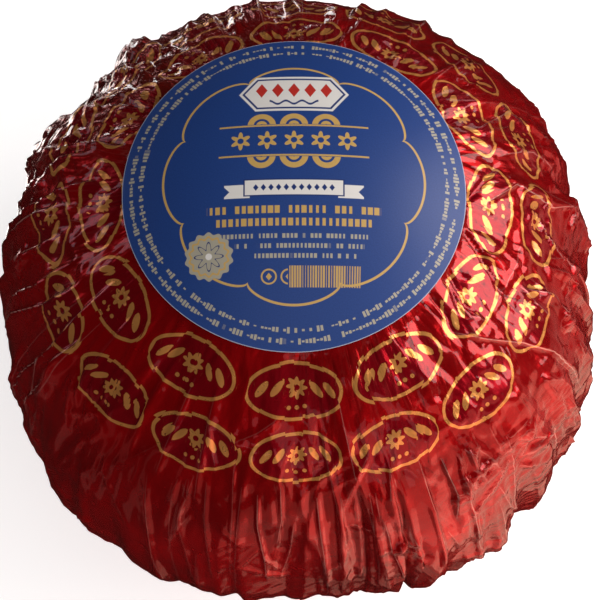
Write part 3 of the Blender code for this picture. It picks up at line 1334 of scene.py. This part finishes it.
@dataclass(frozen=True)
class FilmFinish:
    """Red gloss film with gold print.

    Attributes:
        red: Colour of the film.
        shade: Darker red of its slow blotches.
        medallion: Colour of the film inside the ovals.
        gold: Colour of the ink.
        scuffed_and_highlight: Pale colour along scratches and ridges, partly scuffing of creased film and
            partly painted highlight.
        crumple_painted_shade: Painted shade laid over film that is crumpled all over, a dark brown.
        crest_scuff_and_highlight: Pale colour of a crest line, partly scuffing of the film and partly
            painted highlight.
        painted_fold_shadow: Painted shadow colour, laid beside a crest and along grooves.
        rings: Rings of ovals.
        half_axes: Half width and half height of an oval, in millimetres.
        tear: Most that the print is shifted from one side of a crease to the other, in millimetres.
        line: Half the width of the ovals' gold line, in millimetres.
        patches: Patches of film that are shifted together.
        scratches: Long fine lines down the ball.
        ridges: Long ridges.
        facets: Small facets of crumpled film.
        wrinkles: Finer wrinkles on the facets.
        strokes: Short creases that run round the ball.
        facet_height: Height of the facets' borders, in millimetres.
        wrinkle_height: Height of the wrinkles.
        scratch_height: Height of the scratches.
        ridge_height: Height of the ridges.
        stroke_height: Height of the strokes.
        taut: Crumpling below which the film has no scratches or ridges.
        gloss: Weight of the clear coat.
        gloss_roughness: Roughness of the clear coat.
    """

    red: tuple[float, float, float] = (0.44, 0.0026, 0.0048)
    shade: tuple[float, float, float] = (0.30, 0.0020, 0.0036)
    medallion: tuple[float, float, float] = (0.30, 0.0022, 0.0085)
    gold: tuple[float, float, float] = (0.92, 0.39, 0.105)
    scuffed_and_highlight: tuple[float, float, float] = (0.62, 0.095, 0.080)
    crumple_painted_shade: tuple[float, float, float] = (0.13, 0.020, 0.012)
    crest_scuff_and_highlight: tuple[float, float, float] = (0.92, 0.60, 0.52)
    painted_fold_shadow: tuple[float, float, float] = (0.09, 0.0006, 0.0010)
    rings: tuple[OvalRing, ...] = (OvalRing(56.8, 12), OvalRing(76.2, 16))
    half_axes: tuple[float, float] = (13.2, 7.6)
    tear: float = 1.1
    line: float = 0.50
    patches: Drum = Drum(88.0, 0.30, 0.13)
    scratches: Drum = Drum(88.0, 0.16, 0.32)
    ridges: Drum = Drum(88.0, 0.30, 0.10, 4.0)
    facets: Drum = Drum(88.0, 0.50, 0.14, 8.0)
    wrinkles: Drum = Drum(88.0, 0.80, 0.40, 8.0)
    strokes: Drum = Drum(12.0, 1.0, 0.30, 3.0)
    facet_height: float = 0.95
    wrinkle_height: float = 0.16
    scratch_height: float = 0.55
    ridge_height: float = 0.16
    stroke_height: float = 0.80
    taut: float = 0.35
    gloss: float = 0.7
    gloss_roughness: float = 0.045

    def build(self, span: float) -> bpy.types.Material:
        """Make the material for the film.

        Args:
            span: Width of the film's flat sheet, in millimetres.

        Returns:
            The material.
        """
        material = bpy.data.materials.new("red_film")
        material.use_nodes = True
        tree = material.node_tree
        shader = tree.nodes["Principled BSDF"]
        shader.inputs["Specular IOR Level"].default_value = 0.12
        shader.inputs["Coat Weight"].default_value = self.gloss
        shader.inputs["Coat Roughness"].default_value = self.gloss_roughness
        across, along = sheet_coordinates(tree, "film", span)
        patches = self.patches.place(across, along)
        aside, upward = cell_values(tree, patches, self.patches.cells)
        torn_across = across + (aside - 0.5) * self.tear
        torn_along = along + (upward - 0.5) * self.tear
        inside, gold = self._print(torn_across, torn_along)
        place = tree.nodes.new("ShaderNodeTexCoord").outputs["Object"]
        blotch = ((noise_value(tree, place, 34.0) - 0.42) * 5.0).math("ADD", 0.0, clamp=True)
        scratches = self.scratches.place(across, along)
        lines = (noise_value(tree, scratches, self.scratches.cells, 1.0) - 0.5).size()
        ridges = (self.ridges.borders(across, along) * -22.0).math("ADD", 1.0, clamp=True)
        rough = self._rough(tree)
        scratch_scuff_and_highlight = (lines * -30.0).math("ADD", 1.0, clamp=True) * rough
        colour = mix_colour(tree, self.red, self.shade, blotch)
        # Painted shade: crumpled film is darkened towards a dark brown, in place of shadowed hollows and
        # dark reflections.
        crumple_shade_share = ((attribute_value(tree, "crumpling") - 1.0) * 0.60).math("ADD", 0.0, clamp=True)
        colour = mix_colour(tree, colour, self.crumple_painted_shade, crumple_shade_share)
        colour = mix_colour(tree, colour, self.medallion, inside)
        # Pale lines along scratches and ridges: partly scuffing of creased film, partly painted highlight.
        colour = mix_colour(tree, colour, self.scuffed_and_highlight, (scratch_scuff_and_highlight * 0.38).most(ridges * rough * 0.14))
        colour = mix_colour(tree, colour, self.gold, gold)
        crest_scuff_and_highlight, painted_fold_shadow = self._crest_lines(tree)
        # Painted shadow beside crests and in grooves.
        colour = mix_colour(tree, colour, self.painted_fold_shadow, painted_fold_shadow * 0.60)
        # Pale crest lines: partly scuffing of the film, partly painted highlight.
        colour = mix_colour(tree, colour, self.crest_scuff_and_highlight, crest_scuff_and_highlight * 0.85)
        tree.links.new(colour, shader.inputs["Base Color"])
        grain = noise_value(tree, place, 260.0, 3.0)
        tree.links.new((grain * 0.12 + gold * 0.04 + 0.19).socket, shader.inputs["Roughness"])
        tree.links.new((gold * 0.08 + 0.60).socket, shader.inputs["Metallic"])
        tree.links.new(self._creases(lines, ridges, across, along), shader.inputs["Normal"])
        return material

    def _rough(self, tree: bpy.types.NodeTree) -> Field:
        """How much more crumpled the film is than where it is taut, 0 there."""
        return (attribute_value(tree, "crumpling") - self.taut).most(0.0)

    def _crest_lines(self, tree: bpy.types.NodeTree) -> tuple[Field, Field]:
        """Pale crest lines and painted shadow along the crests of the film.

        Args:
            tree: Tree that reads them.

        Returns:
            Coverage of the pale crest lines, partly scuffing and partly painted highlight, and of the
            painted shadow beside and in folds.
        """
        side = attribute_value(tree, "crest_side")
        sharp = attribute_value(tree, "crest_sharp")
        near = (attribute_value(tree, "crest_gap") * -1.0).math("ADD", 1.4, clamp=True)
        near = near * (attribute_value(tree, "crumpling") * 5.0).math("ADD", -1.0, clamp=True)
        line = (side.size() * -5.0).math("ADD", 1.0, clamp=True) * near
        # Painted shadow: a dark band just past the crest on its steeper side.
        fold_tuck_shadow = ((side - 0.55).size() * -3.0).math("ADD", 1.0, clamp=True) * near
        return line * sharp.most(0.0), (fold_tuck_shadow * sharp.size()).most(line * (sharp * -1.0).most(0.0))

    def _print(self, across: Field, along: Field) -> tuple[Field, Field]:
        """Print of the film.

        Args:
            across: Distance to the right on the sheet, in millimetres.
            along: Distance upwards on the sheet.

        Returns:
            Coverage of the ovals' grounds and of the gold ink.
        """
        inside = gold = None
        for ring in self.rings:
            turn = across.math("ARCTAN2", along * -1.0)
            cell = (turn * (ring.count / math.tau)).math("ROUND") * (math.tau / ring.count)
            cosine = cell.math("COSINE")
            sine = cell.math("SINE")
            sideways = across * cosine + along * sine
            outward = across * sine - along * cosine - ring.radius
            edge = oval_shape(sideways, outward, *self.half_axes)
            ink = (edge.size() - self.line).least(self._garland(sideways, outward)).ink()
            gold = ink if gold is None else gold.most(ink)
            ground = edge.ink()
            inside = ground if inside is None else inside.most(ground)
        return inside, gold

    def _garland(self, sideways: Field, outward: Field) -> Field:
        """Rosette between two pairs of leaves, over three berries.

        Args:
            sideways: Distance to the right of an oval's middle, in millimetres.
            outward: Distance from its middle away from the crown.

        Returns:
            Distance outside the garland's shapes.
        """
        rise = outward + 0.9
        rosette = flower_shape(sideways, rise, 2.45, 0.55, 8)
        eye = length(sideways, rise) * -1.0 + 0.8
        aside = sideways.size() - 7.1
        leaf = (aside + 1.85).fold(3.7)
        tilted = leaf * 0.75 - rise * 0.66
        upright = leaf * 0.66 + rise * 0.75
        leaves = oval_shape(tilted, upright, 1.0, 2.7).most(aside.size() - 3.7)
        berries = length(sideways.fold(2.3), outward - 4.3) - 0.62
        berries = berries.most(sideways.size() - 3.4)
        return rosette.most(eye).least(leaves).least(berries)

    def _creases(self, lines: Field, ridges: Field, across: Field, along: Field) -> bpy.types.NodeSocket:
        """Normal with the creases that are finer than the modelled folds, long down the ball.

        Args:
            lines: Distance from the line of long scratches, as a noise.
            ridges: Height of long ridges, from 0 to 1.
            across: Distance to the right on the sheet, in millimetres.
            along: Distance upwards on the sheet.

        Returns:
            The normal.
        """
        tree = across.tree
        height = self.facets.borders(across, along) * self.facet_height
        height = height + self.wrinkles.borders(across, along) * self.wrinkle_height
        height = height * attribute_value(tree, "crumpling")
        height = height + lines * self.scratch_height * self._rough(tree)
        height = height + ridges * self.ridge_height * self._rough(tree)
        strokes = self.strokes.borders(across, along) * self.stroke_height
        height = height + strokes * attribute_value(tree, "stroked")
        bump = tree.nodes.new("ShaderNodeBump")
        bump.inputs["Strength"].default_value = 1.0
        bump.inputs["Distance"].default_value = MM
        tree.links.new(height.socket, bump.inputs["Height"])
        return bump.outputs["Normal"]


# ---------------------------------------------------------------------------------------------
# Label
# ---------------------------------------------------------------------------------------------


@dataclass
class PaperLabel:
    """The round printed label on the crown.

    Attributes:
        node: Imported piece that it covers.
        ball_node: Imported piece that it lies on.
        columns: Points round the label.
        rings: Rings of points.
        radius: Radius of the label seen from above, in metres.
        shift: How far it was stuck off the middle, in metres.
        thickness: Thickness of the paper, in metres.
        lift: Gap over the ball, in metres.
        sheet_span: Width of the sheet that the print covers, in millimetres.
        curve_radius: Radius of the crown that the paper is laid over, in metres.
        probe_rings: Rings of places where the crown's height is taken.
        probe_turns: Places on each of those rings.
    """

    node: str = "label"
    ball_node: str = "wrapped_ball"
    columns: int = 192
    rings: int = 36
    radius: float = 0.0458
    shift: tuple[float, float] = (-0.0004, 0.0012)
    thickness: float = 0.00016
    lift: float = 0.00025
    sheet_span: float = 100.0
    curve_radius: float = 0.0884
    probe_rings: int = 16
    probe_turns: int = 48

    def build(self) -> bpy.types.Object:
        """Make the label's mesh over the crown.

        Returns:
            The finished label.
        """
        deselect_all()
        low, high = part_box(self.node)
        aside, behind = self.shift
        centre = Vector(((low.x + high.x) / 2 + aside, (low.y + high.y) / 2 + behind, high.z))
        bpy.ops.mesh.primitive_circle_add(
            vertices=self.columns, radius=self.radius, fill_type="NGON", location=centre
        )
        label = bpy.context.object
        label.name = "paper_label"
        label.data.name = "paper_label"
        bpy.ops.object.transform_apply(location=True, rotation=True, scale=True)
        bpy.ops.object.mode_set(mode="EDIT")
        bpy.ops.mesh.select_all(action="SELECT")
        for _ in range(self.rings - 1):
            bpy.ops.mesh.inset(thickness=self.radius / self.rings, use_even_offset=False)
        bpy.ops.mesh.poke()
        bpy.ops.object.mode_set(mode="OBJECT")
        self._drape(label, centre)
        wall = label.modifiers.new("paper", "SOLIDIFY")
        wall.thickness = self.thickness
        wall.offset = 1.0
        bpy.ops.object.modifier_apply(modifier=wall.name)
        bpy.ops.object.shade_smooth_by_angle(angle=math.radians(40))
        return label

    def _terms(self, x: np.ndarray, y: np.ndarray) -> np.ndarray:
        """Terms of a smooth dome.

        Args:
            x: Distance of each place to the right of its middle, in metres.
            y: Distance behind its middle.

        Returns:
            The terms, one row for each place.
        """
        out = np.hypot(x, y) / self.radius
        turn = np.arctan2(y, x)
        terms = [out**power for power in (0, 2, 4, 6)]
        for waves in range(1, 9):
            for power in (waves, waves + 2):
                terms += [out**power * np.cos(waves * turn), out**power * np.sin(waves * turn)]
        return np.stack(terms, axis=-1)

    def _dome(self, centre: Vector) -> np.ndarray:
        """Fit a smooth dome to the ball's crown.

        Args:
            centre: Middle of the label.

        Returns:
            The weight of each of the dome's terms.
        """
        ball = bpy.data.objects[self.ball_node]
        tree = BVHTree.FromObject(ball, bpy.context.evaluated_depsgraph_get())
        reach = np.linspace(0.02, 1.0, self.probe_rings) * self.radius
        turns = np.arange(self.probe_turns) / self.probe_turns * math.tau
        out, turn = np.meshgrid(reach, turns)
        x = (out * np.cos(turn)).ravel()
        y = (out * np.sin(turn)).ravel()
        top = centre + Vector((0, 0, 0.01))
        down = Vector((0, 0, -1))
        hits = [tree.ray_cast(top + Vector((a, b, 0)), down)[0].z for a, b in zip(x, y)]
        return np.linalg.lstsq(self._terms(x, y), np.array(hits), rcond=None)[0]

    def _drape(self, label: bpy.types.Object, centre: Vector) -> None:
        """Bend the disc over the crown and write its flat coordinates.

        Args:
            label: The label's piece.
            centre: Middle of the label.
        """
        mesh = label.data
        flat = np.empty(len(mesh.vertices) * 3, np.float32)
        mesh.vertices.foreach_get("co", flat)
        flat = flat.reshape(-1, 3)
        x = flat[:, 0] - centre.x
        y = flat[:, 1] - centre.y
        flat[:, 2] = self._terms(x, y) @ self._dome(centre) + self.lift
        mesh.vertices.foreach_set("co", flat.ravel())
        mesh.update()
        out = np.hypot(x, y)
        over = np.arcsin(np.clip(out / self.curve_radius, 0, 1)) * self.curve_radius
        grow = over / np.maximum(out, 1e-9) / MM
        sheet = np.stack([x * grow, y * grow], axis=-1) / self.sheet_span + 0.5
        corners = np.empty(len(mesh.loops), np.int32)
        mesh.loops.foreach_get("vertex_index", corners)
        layer = mesh.uv_layers[0] if mesh.uv_layers else mesh.uv_layers.new(name="print")
        layer.name = "print"
        layer.data.foreach_set("uv", sheet[corners].astype(np.float32).ravel())


class Ink(Enum):
    """Inks of the label."""

    BLUE = (0.018, 0.058, 0.240)
    DEEP = (0.010, 0.032, 0.160)
    GOLD = (0.58, 0.37, 0.115)
    PALE_GOLD = (0.41, 0.38, 0.30)
    WHITE = (0.78, 0.76, 0.73)
    RED = (0.50, 0.030, 0.022)
    EDGE = (0.42, 0.46, 0.58)


@dataclass
class LabelPrint:
    """Print of the label: a lobed frame round bands, bars and rows of dashes.

    Attributes:
        across: Distance to the right of the label's middle, in millimetres.
        along: Distance upwards.
        layers: Inks laid so far, each with its coverage.
    """

    across: Field
    along: Field
    layers: list[tuple[Ink, Field]] = field(default_factory=list)

    def draw(self) -> None:
        """Lay every ink of the print, from the edge inwards and from the top down."""
        out = length(self.across, self.along)
        turn = self.across.math("ARCTAN2", self.along)
        self._lay(Ink.EDGE, out * -1.0 + 47.95)
        self._micro_print(out, turn, 45.2, 284, 3.0)
        self._micro_print(out, turn, 42.2, 264, 7.0)
        lobes = (turn * 4.0).math("COSINE").size().root() * 3.6
        self._lay(Ink.GOLD, (out - lobes - 31.9).size() - 0.34)
        self._plaque(0.0, 26.1)
        self._band(0.0, 10.6)
        self._ribbon(0.0, -3.4)
        self._row(0.0, -9.6, 23.0, 1.05, 1.75, 11.0, Ink.GOLD)
        self._row(0.0, -13.1, 20.5, 1.05, 1.75, 12.0, Ink.GOLD)
        self._row(0.0, -16.9, 19.5, 0.62, 1.05, 13.0, Ink.PALE_GOLD)
        self._row(1.5, -19.6, 17.0, 0.62, 1.05, 14.0, Ink.PALE_GOLD)
        self._row(3.0, -22.3, 13.5, 0.62, 1.05, 15.0, Ink.PALE_GOLD)
        self._bars(8.2, -27.9)
        self._rings(-6.6, -27.9)
        self._seal(-22.6, -22.0)

    def colour(self) -> bpy.types.NodeSocket:
        """Mix the inks over the blue ground.

        Returns:
            The colour of the whole print.
        """
        tree = self.across.tree
        grain = noise_value(tree, joined(self.across, self.along, 0.0), 2.6, 2.0)
        share = ((grain - 0.35) * 1.2).math("ADD", 0.0, clamp=True)
        colour = mix_colour(tree, Ink.BLUE.value, Ink.DEEP.value, share)
        for ink, mask in self.layers:
            colour = mix_colour(tree, colour, ink.value, mask)
        return colour

    def _lay(self, ink: Ink, shape: Field) -> None:
        """Lay an ink inside a shape."""
        self.layers.append((ink, shape.ink(0.14)))

    def _at(self, across: float, along: float) -> tuple[Field, Field]:
        """Coordinates from a place on the label."""
        return self.across - across, self.along - along

    def _micro_print(self, out: Field, turn: Field, radius: float, count: int, seed: float) -> None:
        """Ring of tiny dashes of uneven height, with gaps as between words.

        Args:
            out: Distance from the label's middle, in millimetres.
            turn: Compass angle from the top, in radians.
            radius: Radius of the ring.
            count: Number of dashes and gaps round it.
            seed: Picks its own row of heights and gaps.
        """
        step = turn * (count / math.tau)
        cell = step.floor()
        tall = scatter_value(cell, seed) * 0.75 + 0.15
        shown = scatter_value(cell, seed + 0.5) * -4.0 + 0.68
        beside = ((step - cell - 0.5).size() - 0.36) * (math.tau * radius / count)
        self._lay(Ink.PALE_GOLD, beside.most((out - radius).size() - tall).most(shown))

    def _plaque(self, x: float, y: float) -> None:
        """White six-sided plaque with red lozenges over a navy wave.

        Args:
            x: Place of its middle to the right, in millimetres.
            y: Its place upwards.
        """
        across, along = self._at(x, y)
        edge = (across.size() * 0.80 + along.size() * 0.60 - 12.0).most(along.size() - 6.1)
        self._lay(Ink.WHITE, edge)
        self._lay(Ink.DEEP, (edge + 1.0).size() - 0.28)
        limit = across.size() - 10.7
        self._lay(Ink.RED, lozenge_shape(across.fold(4.4), along - 1.1, 1.6, 2.5).most(limit))
        wave = along + 3.2 + (across * 1.43).math("COSINE") * 0.55
        self._lay(Ink.DEEP, (wave.size() - 0.34).most(across.size() - 6.6))

    def _band(self, x: float, y: float) -> None:
        """Row of gold rosettes between two rules, with half rings outside them.

        Args:
            x: Place of its middle to the right, in millimetres.
            y: Its place upwards.
        """
        across, along = self._at(x, y)
        limit = across.size() - 17.8
        rosettes = flower_shape(across.fold(7.1), along, 2.1, 0.7, 6)
        eyes = length(across.fold(7.1), along) * -1.0 + 0.85
        self._lay(Ink.GOLD, rosettes.most(eyes).most(limit))
        beyond = along.size() - 4.6
        self._lay(Ink.GOLD, (beyond.size() - 0.26).most(across.size() - 20.0))
        arch = length(across.fold(8.6), beyond)
        arches = ((arch - 3.0).size() - 0.8).least((arch - 1.0).size() - 0.5)
        self._lay(Ink.GOLD, arches.most(beyond * -1.0 + 0.4).most(across.size() - 12.7))

    def _ribbon(self, x: float, y: float) -> None:
        """White ribbon with swallow tails and a row of navy lozenges.

        Args:
            x: Place of its middle to the right, in millimetres.
            y: Its place upwards.
        """
        across, along = self._at(x, y)
        tail = box_shape(across.size() - 15.0, along + 1.0, 3.4, 1.9)
        notch = (across.size() + (along + 1.0).size() * -1.0) * 0.7 - 11.9
        self._lay(Ink.WHITE, tail.most(notch))
        self._lay(Ink.DEEP, box_shape(across, along, 13.3, 2.45))
        self._lay(Ink.WHITE, box_shape(across, along, 12.9, 2.1))
        studs = lozenge_shape(across.fold(2.0), along, 0.72, 0.95)
        self._lay(Ink.DEEP, studs.most(across.size() - 11.0))

    def _row(
        self,
        x: float,
        y: float,
        half_width: float,
        half_height: float,
        pitch: float,
        seed: float,
        ink: Ink,
    ) -> None:
        """Row of upright dashes of uneven width, with gaps as between words.

        Args:
            x: Place of its middle to the right, in millimetres.
            y: Its place upwards.
            half_width: Half its length.
            half_height: Half the height of a dash.
            pitch: Distance from dash to dash.
            seed: Picks its own row of widths and gaps.
            ink: Ink of the dashes.
        """
        across, along = self._at(x, y)
        step = across * (1.0 / pitch)
        cell = step.floor()
        wide = scatter_value(cell, seed) * 0.22 + 0.20
        shown = scatter_value(cell, seed + 0.5) * -4.0 + 0.52
        beside = ((step - cell - 0.5).size() - wide) * pitch
        shape = beside.most(along.size() - half_height).most(shown)
        self._lay(ink, shape.most(across.size() - half_width))

    def _bars(self, x: float, y: float) -> None:
        """Block of gold bars of uneven width.

        Args:
            x: Place of its middle to the right, in millimetres.
            y: Its place upwards.
        """
        across, along = self._at(x, y)
        step = across * 1.45
        cell = step.floor()
        wide = scatter_value(cell, 21.0) * 0.32 + 0.10
        beside = ((step - cell - 0.5).size() - wide) * 0.69
        self._lay(Ink.GOLD, beside.most(along.size() - 2.9).most(across.size() - 9.4))

    def _rings(self, x: float, y: float) -> None:
        """Two small gold rings with a lozenge in each.

        Args:
            x: Place of its middle to the right, in millimetres.
            y: Its place upwards.
        """
        across, along = self._at(x, y)
        beside = across.fold(5.2)
        limit = (across.size() - 5.0).most(across * -1.0 - 2.4)
        ring = (length(beside, along) - 1.9).size() - 0.22
        self._lay(Ink.GOLD, ring.least(lozenge_shape(beside, along, 0.8, 1.0)).most(limit))

    def _seal(self, x: float, y: float) -> None:
        """Pale gold seal with a notched edge over the frame.

        Args:
            x: Place of its middle to the right, in millimetres.
            y: Its place upwards.
        """
        across, along = self._at(x, y)
        edge = flower_shape(across, along, 6.4, 0.35, 14)
        self._lay(Ink.PALE_GOLD, edge)
        self._lay(Ink.GOLD, (edge + 1.3).size() - 0.28)
        inner = flower_shape(across, along, 2.9, 1.0, 8)
        self._lay(Ink.DEEP, inner.size() - 0.20)
        self._lay(Ink.WHITE, length(across, along) - 0.9)


@dataclass(frozen=True)
class LabelFinish:
    """Printed satin paper.

    Attributes:
        fibre_scale: Fibres to a metre, about.
        fibre_depth: Depth of the fibres, in metres.
    """

    fibre_scale: float = 1500.0
    fibre_depth: float = 0.00004

    def build(self, span: float) -> bpy.types.Material:
        """Make the material for the label.

        Args:
            span: Width of the label's flat sheet, in millimetres.

        Returns:
            The material.
        """
        material = bpy.data.materials.new("label_paper")
        material.use_nodes = True
        tree = material.node_tree
        shader = tree.nodes["Principled BSDF"]
        design = LabelPrint(*sheet_coordinates(tree, "print", span))
        design.draw()
        tree.links.new(design.colour(), shader.inputs["Base Color"])
        place = tree.nodes.new("ShaderNodeTexCoord").outputs["Object"]
        fibres = noise_value(tree, place, self.fibre_scale, 2.0)
        tree.links.new((fibres * 0.14 + 0.35).socket, shader.inputs["Roughness"])
        bump = tree.nodes.new("ShaderNodeBump")
        bump.inputs["Strength"].default_value = 0.5
        bump.inputs["Distance"].default_value = self.fibre_depth
        tree.links.new(fibres.socket, bump.inputs["Height"])
        tree.links.new(bump.outputs["Normal"], shader.inputs["Normal"])
        return material


# ---------------------------------------------------------------------------------------------
# Studio
# ---------------------------------------------------------------------------------------------


@dataclass
class Studio:
    """Floor, lights and camera.

    Attributes:
        centre: Middle of the ball.
        unit: Radius of the ball, in metres.
        floor_size: Width of the floor in ball radii.
        elevation: Height of the camera's view over level, in degrees.
        distance: Distance of the camera in ball radii.
        lens: Focal length, in millimetres.
        shift: Sideways and upward shift of the lens.
    """

    centre: Vector
    unit: float
    floor_size: float = 60.0
    elevation: float = 68.3
    distance: float = 7.0
    lens: float = 125.0
    shift: tuple[float, float] = (0.0050, 0.0017)

    def build(self) -> None:
        """Set the studio up round the ball."""
        self._floor()
        self._world()
        self._light("key_softbox", (0.86, 0.06, 0.50), 5.0, (5.1, 2.7), 3.8, (1.0, 0.92, 0.88))
        self._light("high_softbox", (0.60, 0.27, 0.75), 5.0, (1.3, 1.6), 4.0, (1.0, 0.92, 0.90))
        self._light("back_strip", (-0.42, 0.80, -0.36), 9.0, (0.45, 3.6), 5.0, (1.0, 1.0, 1.0))
        self._light("back_line", (-0.05, 0.90, -0.42), 9.0, (0.25, 3.0), 3.4, (1.0, 1.0, 1.0))
        self._light("table_line", (-0.50, 0.56, -0.66), 6.0, (0.7, 3.4), 3.6, (1.0, 0.96, 0.92))
        self._light("left_panel", (-0.88, 0.42, 0.14), 9.0, (3.4, 2.4), 0.95, (1.0, 0.84, 1.0))
        self._light("front_panel", (0.16, -0.88, 0.32), 9.0, (5.0, 2.6), 0.5, (1.0, 0.84, 0.84))
        self._light("table_front", (0.22, -0.90, -0.34), 5.0, (5.6, 3.4), 0.29, (1.0, 0.60, 0.46))
        self._light("table_near", (0.18, -0.54, -0.82), 4.0, (1.6, 1.4), 0.20, (1.0, 0.60, 0.44))
        self._light("table_corner", (0.52, -0.80, -0.10), 5.0, (4.4, 4.6), 0.84, (1.0, 0.54, 0.42))
        self._light("table_side", (0.70, -0.42, -0.44), 4.0, (4.2, 3.8), 1.0, (1.0, 0.58, 0.42))
        self._light("table_right", (0.90, 0.24, -0.34), 5.0, (2.6, 2.8), 0.55, (1.0, 0.32, 0.26))
        self._light("table_glow", (0.66, -0.62, -0.30), 6.0, (9.0, 6.0), 0.24, (1.0, 0.24, 0.20))
        self._light("back_right", (0.50, 0.86, 0.10), 9.0, (1.5, 1.2), 1.6, (1.0, 0.80, 0.80))
        self._light("table_left", (-0.74, -0.58, -0.22), 5.0, (1.2, 4.0), 0.12, (1.0, 0.60, 0.50))
        dome = (18.0, 14.0)
        self._light("fill_dome", (0.27, -0.28, 0.92), 12.0, dome, 1.35, (1.0, 0.98, 0.96), False)
        self._camera()

    def _floor(self) -> None:
        """Large pale floor under the ball."""
        deselect_all()
        bpy.ops.mesh.primitive_plane_add(size=self.floor_size * self.unit, location=(0, 0, 0))
        floor = bpy.context.object
        floor.name = "studio_floor"
        material = bpy.data.materials.new("pale_floor")
        material.use_nodes = True
        shader = material.node_tree.nodes["Principled BSDF"]
        shader.inputs["Base Color"].default_value = (0.88, 0.88, 0.88, 1)
        shader.inputs["Roughness"].default_value = 0.9
        shader.inputs["Emission Color"].default_value = (1.0, 1.0, 1.0, 1)
        shader.inputs["Emission Strength"].default_value = 0.66
        floor.data.materials.append(material)
        floor.visible_glossy = False
        floor.visible_shadow = False

    def _world(self) -> None:
        """Dim, even surroundings."""
        world = bpy.data.worlds.new("studio")
        bpy.context.scene.world = world
        world.use_nodes = True
        shade = world.node_tree.nodes["Background"]
        shade.inputs[0].default_value = (1.0, 0.70, 0.60, 1)
        shade.inputs[1].default_value = 0.008

    def _light(
        self,
        name: str,
        way: tuple[float, float, float],
        distance: float,
        size: tuple[float, float],
        power: float,
        colour: tuple[float, float, float],
        mirrored: bool = True,
    ) -> None:
        """Add one area light that faces the ball.

        Args:
            name: Name of the light.
            way: Direction from the ball to the light.
            distance: Distance in ball radii.
            size: Width and height in ball radii.
            power: Brightness of the panel's face.
            colour: Colour of the light.
            mirrored: Whether gloss surfaces mirror the panel.
        """
        data = bpy.data.lights.new(name, "AREA")
        data.shape = "RECTANGLE"
        data.size, data.size_y = (side * self.unit for side in size)
        data.energy = power * data.size * data.size_y * math.pi
        data.color = colour
        light = bpy.data.objects.new(name, data)
        light.visible_camera = False
        light.visible_glossy = mirrored
        bpy.context.collection.objects.link(light)
        direction = Vector(way).normalized()
        light.location = self.centre + direction * distance * self.unit
        light.rotation_mode = "QUATERNION"
        light.rotation_quaternion = direction.to_track_quat("Z", "Y")

    def _camera(self) -> None:
        """Camera high at the front, as the ball is seen from above."""
        elevation = math.radians(self.elevation)
        back = Vector((0.0, -math.cos(elevation), math.sin(elevation)))
        data = bpy.data.cameras.new("camera")
        data.lens = self.lens
        data.sensor_width = 36.0
        data.shift_x, data.shift_y = self.shift
        camera = bpy.data.objects.new("camera", data)
        bpy.context.collection.objects.link(camera)
        camera.location = self.centre + back * self.distance * self.unit
        camera.rotation_mode = "QUATERNION"
        camera.rotation_quaternion = back.to_track_quat("Z", "Y")
        bpy.context.scene.camera = camera
        bpy.context.scene.view_settings.view_transform = "Standard"


def dress(piece: bpy.types.Object, node: str, finish: bpy.types.Material) -> None:
    """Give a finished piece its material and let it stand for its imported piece.

    Args:
        piece: The finished piece.
        node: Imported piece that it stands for.
        finish: Its material.
    """
    piece.data.materials.append(finish)
    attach(piece, BODY)
    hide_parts(node)
    LOG.info("%s: %d faces", piece.name, len(piece.data.polygons))


def main() -> None:
    """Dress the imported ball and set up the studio."""
    logging.basicConfig(level=logging.INFO, format="%(message)s")
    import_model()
    film, label = FilmWrap(), PaperLabel()
    low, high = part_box(label.node)
    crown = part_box(film.node)[1].z
    wrap, paper = film.build(), label.build()
    dress(wrap, film.node, FilmFinish().build(film.sheet_span))
    dress(paper, label.node, LabelFinish().build(label.sheet_span))
    middle = Vector(((low.x + high.x) / 2, (low.y + high.y) / 2, crown - CROWN_OVER_MIDDLE))
    Studio(centre=middle, unit=BALL_RADIUS).build()


if __name__ == "__main__":
    main()
